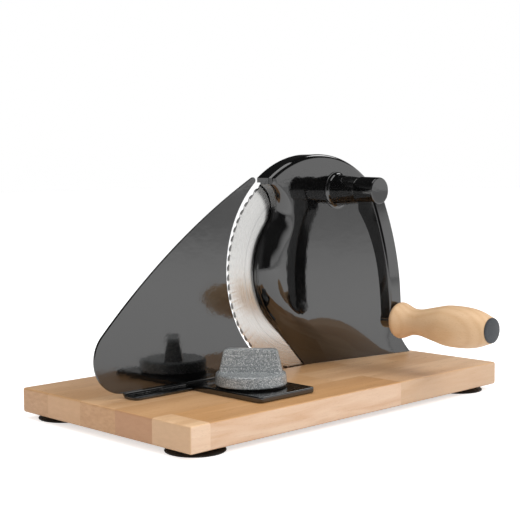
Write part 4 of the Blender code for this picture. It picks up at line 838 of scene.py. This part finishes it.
def rounded_plan(x_low, x_high, y_low, y_high, radius):
    points = [(x_high, y_high), (x_low, y_high)]
    points += arc((x_low + radius, y_low + radius), radius, math.pi, 1.5 * math.pi, 16)
    points += arc((x_high - radius, y_low + radius), radius, 1.5 * math.pi, 2 * math.pi, 16)
    return points


def stop(mat):
    """The upright stop with its bent foot, the slotted strip lapped over it, and holes for two rivets."""
    upright = SLIDE_AT @ axis_matrix((0, PLATE_T, 0), NEAR)
    plate = bevel(extruded("stop_plate_bent", stop_outline(), 0, PLATE_T, upright), 0.0005, 3)
    low = SHEET_LOW
    plan = rounded_plan(STOP_LEFT, STOP_RIGHT, -STOP_REACH, PLATE_T - 0.0006, 0.004)
    foot = bevel(extruded("foot", plan, low, low + PLATE_T, SLIDE_AT), 0.0005, 3)
    boolean(plate, foot, "UNION")
    section = [(-0.0006, -0.0006), (BEND_R, -0.0006)]
    section += arc((BEND_R, BEND_R), BEND_R, 1.5 * math.pi, math.pi, 12) + [(-0.0006, BEND_R)]
    span = (STOP_RIGHT - STOP_LEFT) / 2 - 0.0006
    at = ((STOP_LEFT + STOP_RIGHT) / 2, 0, low + PLATE_T)
    turn = Matrix(((0, 0, -1, 0), (-1, 0, 0, 0), (0, 1, 0, 0), (0, 0, 0, 1)))
    bend = extruded("bend", section, -span, span, SLIDE_AT @ Matrix.Translation(at) @ turn)
    boolean(plate, bend, "UNION")
    baked(plate, 40, weighted=True)
    dress(plate, "stop", "black_enamel", mat, "stop_plate")
    x = SLIDE_X - BLADE_X
    near = -0.0793 - PLATE_Y
    plan = rounded_plan(x - SLIDE_W / 2, x + SLIDE_W / 2, near, -BEND_R - GAP, 0.0034)
    strip = bevel(extruded("slide_strip", plan, low, low + STRIP_H, SLIDE_AT), 0.0011, 4)
    lap = low + PLATE_T + GAP
    room = SLIDE_AT @ Matrix.Translation((x, 0, lap - 0.0023))
    boolean(strip, box("lap_room", (0.065, 0.0256, 0.0046), room))
    ramp = [(low + STRIP_H, -STOP_REACH - 0.009), (low + 0.0033, -STOP_REACH), (low + 0.0033, 0.001)]
    ramp += [(low + 0.0053, 0.001), (low + 0.0053, -STOP_REACH - 0.009)]
    across = SLIDE_AT @ Matrix.Translation((x, 0, 0)) @ Matrix.Rotation(-math.pi / 2, 4, "Y")
    boolean(strip, extruded("ramp", ramp, -0.035, 0.035, across))
    knob = KNOB_Y - PLATE_Y
    slot = arc((x, knob - 0.017), SLOT_R, math.pi, 2 * math.pi, 24)
    slot += arc((x, knob + 0.0125), SLOT_R, 0, math.pi, 24)
    boolean(strip, extruded("slot", slot, low - 0.01, low + 0.01, SLIDE_AT))
    for side in (-1, 1):
        at = SLIDE_AT @ Matrix.Translation((x + side * 0.0155, -STOP_REACH / 2, 0))
        boolean(strip, rod("rivet_hole", 0.0023, low, low + 0.0029, at, 32))
    baked(strip, 40, weighted=True)
    dress(strip, "stop", "black_enamel", mat, "slide_base")


def knob(mat):
    """Round base with a tapered grip across it, blended as one casting under hammered paint."""
    disc = [(0, 0.009), (0.0244, 0.009), (0.0255, 0.0087), (0.0262, 0.0081), (0.0265, 0.0072)]
    disc += [(0.0272, 0.0006), (0.0269, 0.0001), (0.0265, 0), (0, 0)]
    body = turned("clamp_knob_hammered", disc, KNOB_AT, 128)
    bm = bmesh.new()
    bmesh.ops.create_cube(bm, size=1)
    for vert in bm.verts:
        upper = vert.co.z > 0
        vert.co.x *= 0.06
        vert.co.y *= 0.0085 if upper else 0.018
        vert.co.z = 0.0264 if upper else 0.0025
    shoulder = arc((0.0172, 0.0228), 0.0036, 0.22, math.pi / 2, 8)
    ends = turned("wing_ends", [(0, 0), (0.0263, 0)] + shoulder + [(0, 0.0264)], KNOB_AT, 128)
    wing = bevel(boolean(made("wing", bm, KNOB_AT), ends, "INTERSECT"), 0.0028, 6)
    boolean(body, wing, "UNION")
    remesh = body.modifiers.new("skin", "REMESH")
    remesh.mode = "VOXEL"
    remesh.voxel_size = 0.00045
    relax = body.modifiers.new("relax", "SMOOTH")
    relax.factor = 0.5
    relax.iterations = 7
    boolean(body, rod("washer_recess", 0.0118, -0.001, 0.0012, KNOB_AT))
    boolean(body, rod("insert_hole", 0.0058, -0.001, 0.0125, KNOB_AT))
    baked(body, 60)
    dress(body, "knob", "hammertone_grey", mat, "clamp_knob")


def blade(mat):
    """Disc ground thin towards its rounded teeth on the near side."""
    bm = bmesh.new()
    per_tooth = 12
    count = BLADE_TEETH * per_tooth
    edge = []
    for k in range(count):
        share = (k % per_tooth) / per_tooth
        height = math.sin(math.pi * min(share / 0.86, 1)) ** 0.7 if share < 0.86 else 0
        edge.append(polar(BLADE_R - 0.0011 * (1 - height), 2 * math.pi * k / count))
    rows = [
        [(x, y, -BLADE_T) for x, y in edge],
        [(x, y, -BLADE_T + 0.00035) for x, y in edge],
        [(x, y, -0.0009) for x, y in ring(BLADE_R - 0.0018, count)],
        [(x, y, 0) for x, y in ring(0.0664, count)],
        [(x, y, 0) for x, y in ring(0.0133, count)],
        [(x, y, -BLADE_T) for x, y in ring(0.0133, count)],
        [(x, y, -BLADE_T) for x, y in ring(BLADE_R - 0.003, count)],
    ]
    loops = [[bm.verts.new(point) for point in row] for row in rows]
    for first, second in zip(loops, loops[1:] + loops[:1]):
        for k in range(count):
            after = (k + 1) % count
            bm.faces.new((first[k], first[after], second[after], second[k]))
    bmesh.ops.recalc_face_normals(bm, faces=bm.faces)
    disc = made("blade_ground", bm, HOUSING_AT, 20)
    for at in BLADE_SCREWS_AT:
        boolean(disc, rod("screw_hole", 0.0019, -0.005, 0.005, at, 24))
    baked(disc, 12)
    dress(disc, "cutter", "ground_steel", mat, "blade")


def fasteners(bright):
    """The screws and washers of the blade and the crank, and the grip's spindle, with their rounded edges."""

    def plain(obj, body, node):
        dress(obj, body, "bright_steel", bright, node)

    far = -BLADE_T - 0.0005
    low = far - GAP - 0.0008
    washer = [(0.0033, far - GAP), (0.0132, far - GAP), (0.0134, far - 0.0005), (0.0134, low + 0.0002)]
    washer += [(0.0132, low), (0.0033, low)]
    plain(turned("axle_washer_plated", washer, HOUSING_AT, 80), "frame", "axle_washer")
    head = low - GAP
    profile = [(0, far + 0.0084), (0.003, far + 0.0084), (0.003, head), (0.0088, head)]
    profile += [(0.009, head - 0.0002), (0.009, head - 0.0014), (0.0087, head - 0.0019)]
    profile += [(0.008, head - 0.0022), (0, head - 0.0022)]
    screw = turned("axle_screw_slotted", profile, HOUSING_AT, 80)
    slot = HOUSING_AT @ Matrix.Translation((0, 0, head - 0.0022)) @ Matrix.Rotation(0.4, 4, "Z")
    boolean(screw, box("slot", (0.03, 0.0018, 0.0022), slot))
    plain(baked(screw), "frame", "axle_screw")
    seat = -BLADE_T - GAP
    for k, at in enumerate(BLADE_SCREWS_AT, 1):
        profile = [(0, seat + 0.0062), (0.0016, seat + 0.0062), (0.0016, seat), (0.003, seat)]
        profile += [(0.0029, seat - 0.0005), (0.0024, seat - 0.0009), (0.0014, seat - 0.001)]
        profile.append((0, seat - 0.001))
        screw = turned(f"blade_screw_domed_{k}", profile, at, 40)
        for turn in (0.3, 0.3 + math.pi / 2):
            cross = at @ Matrix.Translation((0, 0, seat - 0.001)) @ Matrix.Rotation(turn, 4, "Z")
            boolean(screw, box("cross", (0.0032, 0.0006, 0.0012), cross))
        plain(baked(screw), "cutter", f"blade_screw_{k}")
    rim = NECK_END + GAP
    washer = [(0.0053, rim + 0.0006), (0.0102, rim + 0.0006), (0.0104, rim + 0.00045)]
    washer += [(0.0104, rim + 0.00015), (0.0102, rim), (0.0053, rim)]
    plain(turned("thrust_washer_plated", washer, NECK_AT, 80), "frame", "thrust_washer")
    low = ARM_NEAR + GAP
    washer = [(0.0038, low + 0.0008), (0.0076, low + 0.0008), (0.0078, low + 0.0006), (0.0078, low + 0.0002)]
    washer += [(0.0076, low), (0.0038, low)]
    plain(turned("grip_washer_plated", washer, EYE_AT, 64), "crank", "grip_washer")
    top = ARM_NEAR + GAP + 0.0008 + GAP + GRIP_L - 0.0065 + GAP + 0.0038
    seat = EYE_BACK - GAP
    profile = [(0, top), (0.0035, top), (0.0035, seat), (0.0055, seat), (0.0056, seat - 0.0001)]
    profile += [(0.0053, seat - 0.0007), (0.0042, seat - 0.0014), (0, seat - 0.0014)]
    plain(turned("grip_spindle_headed", profile, EYE_AT, 64), "crank", "grip_spindle")


beech = board_wood()
oiled_grip = grip_wood()
black = enamel()
black_rubber = rubber()
grey_plastic = slate()
hammered = hammertone()
ground = blade_steel()
zinc = metal("zinc_plated_steel", (0.45, 0.45, 0.44), 0.38)
plated = metal("bright_plated_steel", (0.66, 0.66, 0.65), 0.2, 500)
cast = metal("grey_cast_gear", (0.2, 0.2, 0.2), 0.5, 300, 0.00006, 0.7)
yellow = metal("turned_brass", (0.7, 0.5, 0.2), 0.3)
board(beech)
feet(black_rubber, zinc)
housing(black)
crank(black)
grub_screw(zinc)
grip(oiled_grip, grey_plastic)
stop(black)
knob(hammered)
blade(ground)
fasteners(plated)
drop_cutters()

# CAD nodes that keep their shape and take a fuller finish
FINISHES = {"zinc_steel": zinc, "bright_steel": plated, "grey_cast": cast, "brass": yellow}
SLOTS = {entry["node"]: entry["material_slot"] for entry in frame["record"]["subparts"]}
for name, obj in frame["nodes"].items():
    if SLOTS[name] in FINISHES:
        obj.data.materials.clear()
        obj.data.materials.append(FINISHES[SLOTS[name]])

# Floor, light and camera
floor_bm = bmesh.new()
bmesh.ops.create_grid(floor_bm, x_segments=1, y_segments=1, size=6)
floor = made("floor", floor_bm, Matrix.Identity(4))
floor_look = Shader("pale_floor", (0.85, 0.85, 0.85), 0.9)
paths = floor_look.node("LightPath").outputs
seen = floor_look.math("MAXIMUM", paths["Is Camera Ray"], paths["Is Transmission Ray"])
seen = floor_look.math("MULTIPLY_ADD", paths["Is Glossy Ray"], 0.3, seen)
floor_look.set("Emission Color", (1, 1, 1, 1))
floor_look.set("Emission Strength", floor_look.math("MULTIPLY", seen, 0.6))
floor.data.materials.append(floor_look.mat)


def lamp(name, place, target, size, power, tone=(1, 1, 1)):
    light = bpy.data.lights.new(name, "AREA")
    light.shape = "RECTANGLE"
    light.size, light.size_y = size
    light.energy = power
    light.color = tone
    obj = bpy.data.objects.new(name, light)
    bpy.context.scene.collection.objects.link(obj)
    obj.location = place
    way = Vector(target) - Vector(place)
    obj.rotation_euler = way.to_track_quat("-Z", "Y").to_euler()
    return obj


lamp("key", (0.25, -1.55, 1.3), (0, 0, 0.08), (1.2, 1.0), 15.5).visible_glossy = False
lamp("fill", (-1.5, -0.5, 0.9), (0, 0, 0.08), (2.2, 1.4), 5).visible_glossy = False
lamp("top", (0, 0.2, 1.8), (0, 0, 0), (1.4, 1.4), 9)

# A white room: polished pieces also mirror its dark ceiling and the dark wall on the operator's side
world = bpy.data.worlds.new("studio")
bpy.context.scene.world = world
world.use_nodes = True
nodes = world.node_tree.nodes
links = world.node_tree.links
direction = nodes.new("ShaderNodeTexCoord").outputs["Generated"]


def reading(kind, *inputs, **settings):
    node = nodes.new("ShaderNode" + kind)
    for key, value in settings.items():
        setattr(node, key, value)
    for socket, value in enumerate(inputs):
        if isinstance(value, bpy.types.NodeSocket):
            links.new(value, node.inputs[socket])
        elif value is not None:
            node.inputs[socket].default_value = value
    return node


def towards(way, low, high, out_low, out_high):
    """A soft-edged patch of the room around one direction."""
    unit = Vector(way).normalized()
    share = reading("VectorMath", direction, tuple(unit), operation="DOT_PRODUCT").outputs["Value"]
    steps = reading("MapRange", share, low, high, out_low, out_high, interpolation_type="SMOOTHSTEP")
    return steps.outputs[0]


def joined(operation, first, second):
    return reading("Math", first, second, operation=operation).outputs[0]


window = towards((1, -0.36, 0.05), 0.45, 0.83, 0.0, 1.0)
left_wall = towards((-1, 0.1, 0.1), 0.6, 0.95, 0.0, 0.14)
softbox = towards((0.73, 0.05, 0.66), 0.975, 0.992, 0.0, 4.0)
horizon = towards((0, 0, 1), 0.02, 0.2, 0.9, 0.0)
operator_side = towards((-0.7, -0.71, 0), 0.72, 0.86, 1.0, 0.0)
window = joined("MULTIPLY", window, towards((0, 0, 1), 0.26, 0.46, 1.0, 0.0))
room = joined("MAXIMUM", window, left_wall)
room = joined("MAXIMUM", room, joined("MULTIPLY", horizon, operator_side))
room = joined("MAXIMUM", joined("MAXIMUM", room, softbox), 0.02)
path = nodes.new("ShaderNodeLightPath").outputs
open_view = joined("MAXIMUM", path["Is Camera Ray"], path["Is Transmission Ray"])
plain = reading("MapRange", open_view, 0.0, 1.0, 0.55, 1.0).outputs[0]
mirrored = reading("Mix", path["Is Glossy Ray"], None, plain, room, data_type="FLOAT")
background = nodes["Background"]
background.inputs["Color"].default_value = (1, 1, 1, 1)
links.new(mirrored.outputs[0], background.inputs["Strength"])

YAW = math.radians(44.422)
PITCH = math.radians(4.78)
ROLL = math.radians(-0.383)
CAMERA_PLACE = (-0.668287, -0.669285, 0.195176)
FOCAL_PIXELS = 1180.673
IMAGE_PIXELS = 520
SENSOR = 36
forward = Vector((math.sin(YAW) * math.cos(PITCH), math.cos(YAW) * math.cos(PITCH), -math.sin(PITCH)))
level_right = Vector((math.cos(YAW), -math.sin(YAW), 0))
level_up = level_right.cross(forward)
right = level_right * math.cos(ROLL) + level_up * math.sin(ROLL)
up = level_up * math.cos(ROLL) - level_right * math.sin(ROLL)
camera_data = bpy.data.cameras.new("camera")
camera_data.sensor_width = SENSOR
camera_data.lens = FOCAL_PIXELS / IMAGE_PIXELS * SENSOR
camera = bpy.data.objects.new("camera", camera_data)
bpy.context.scene.collection.objects.link(camera)
camera.matrix_world = Matrix.Translation(CAMERA_PLACE) @ Matrix((right, up, -forward)).transposed().to_4x4()
bpy.context.scene.camera = camera

bpy.context.scene.view_settings.view_transform = "Standard"
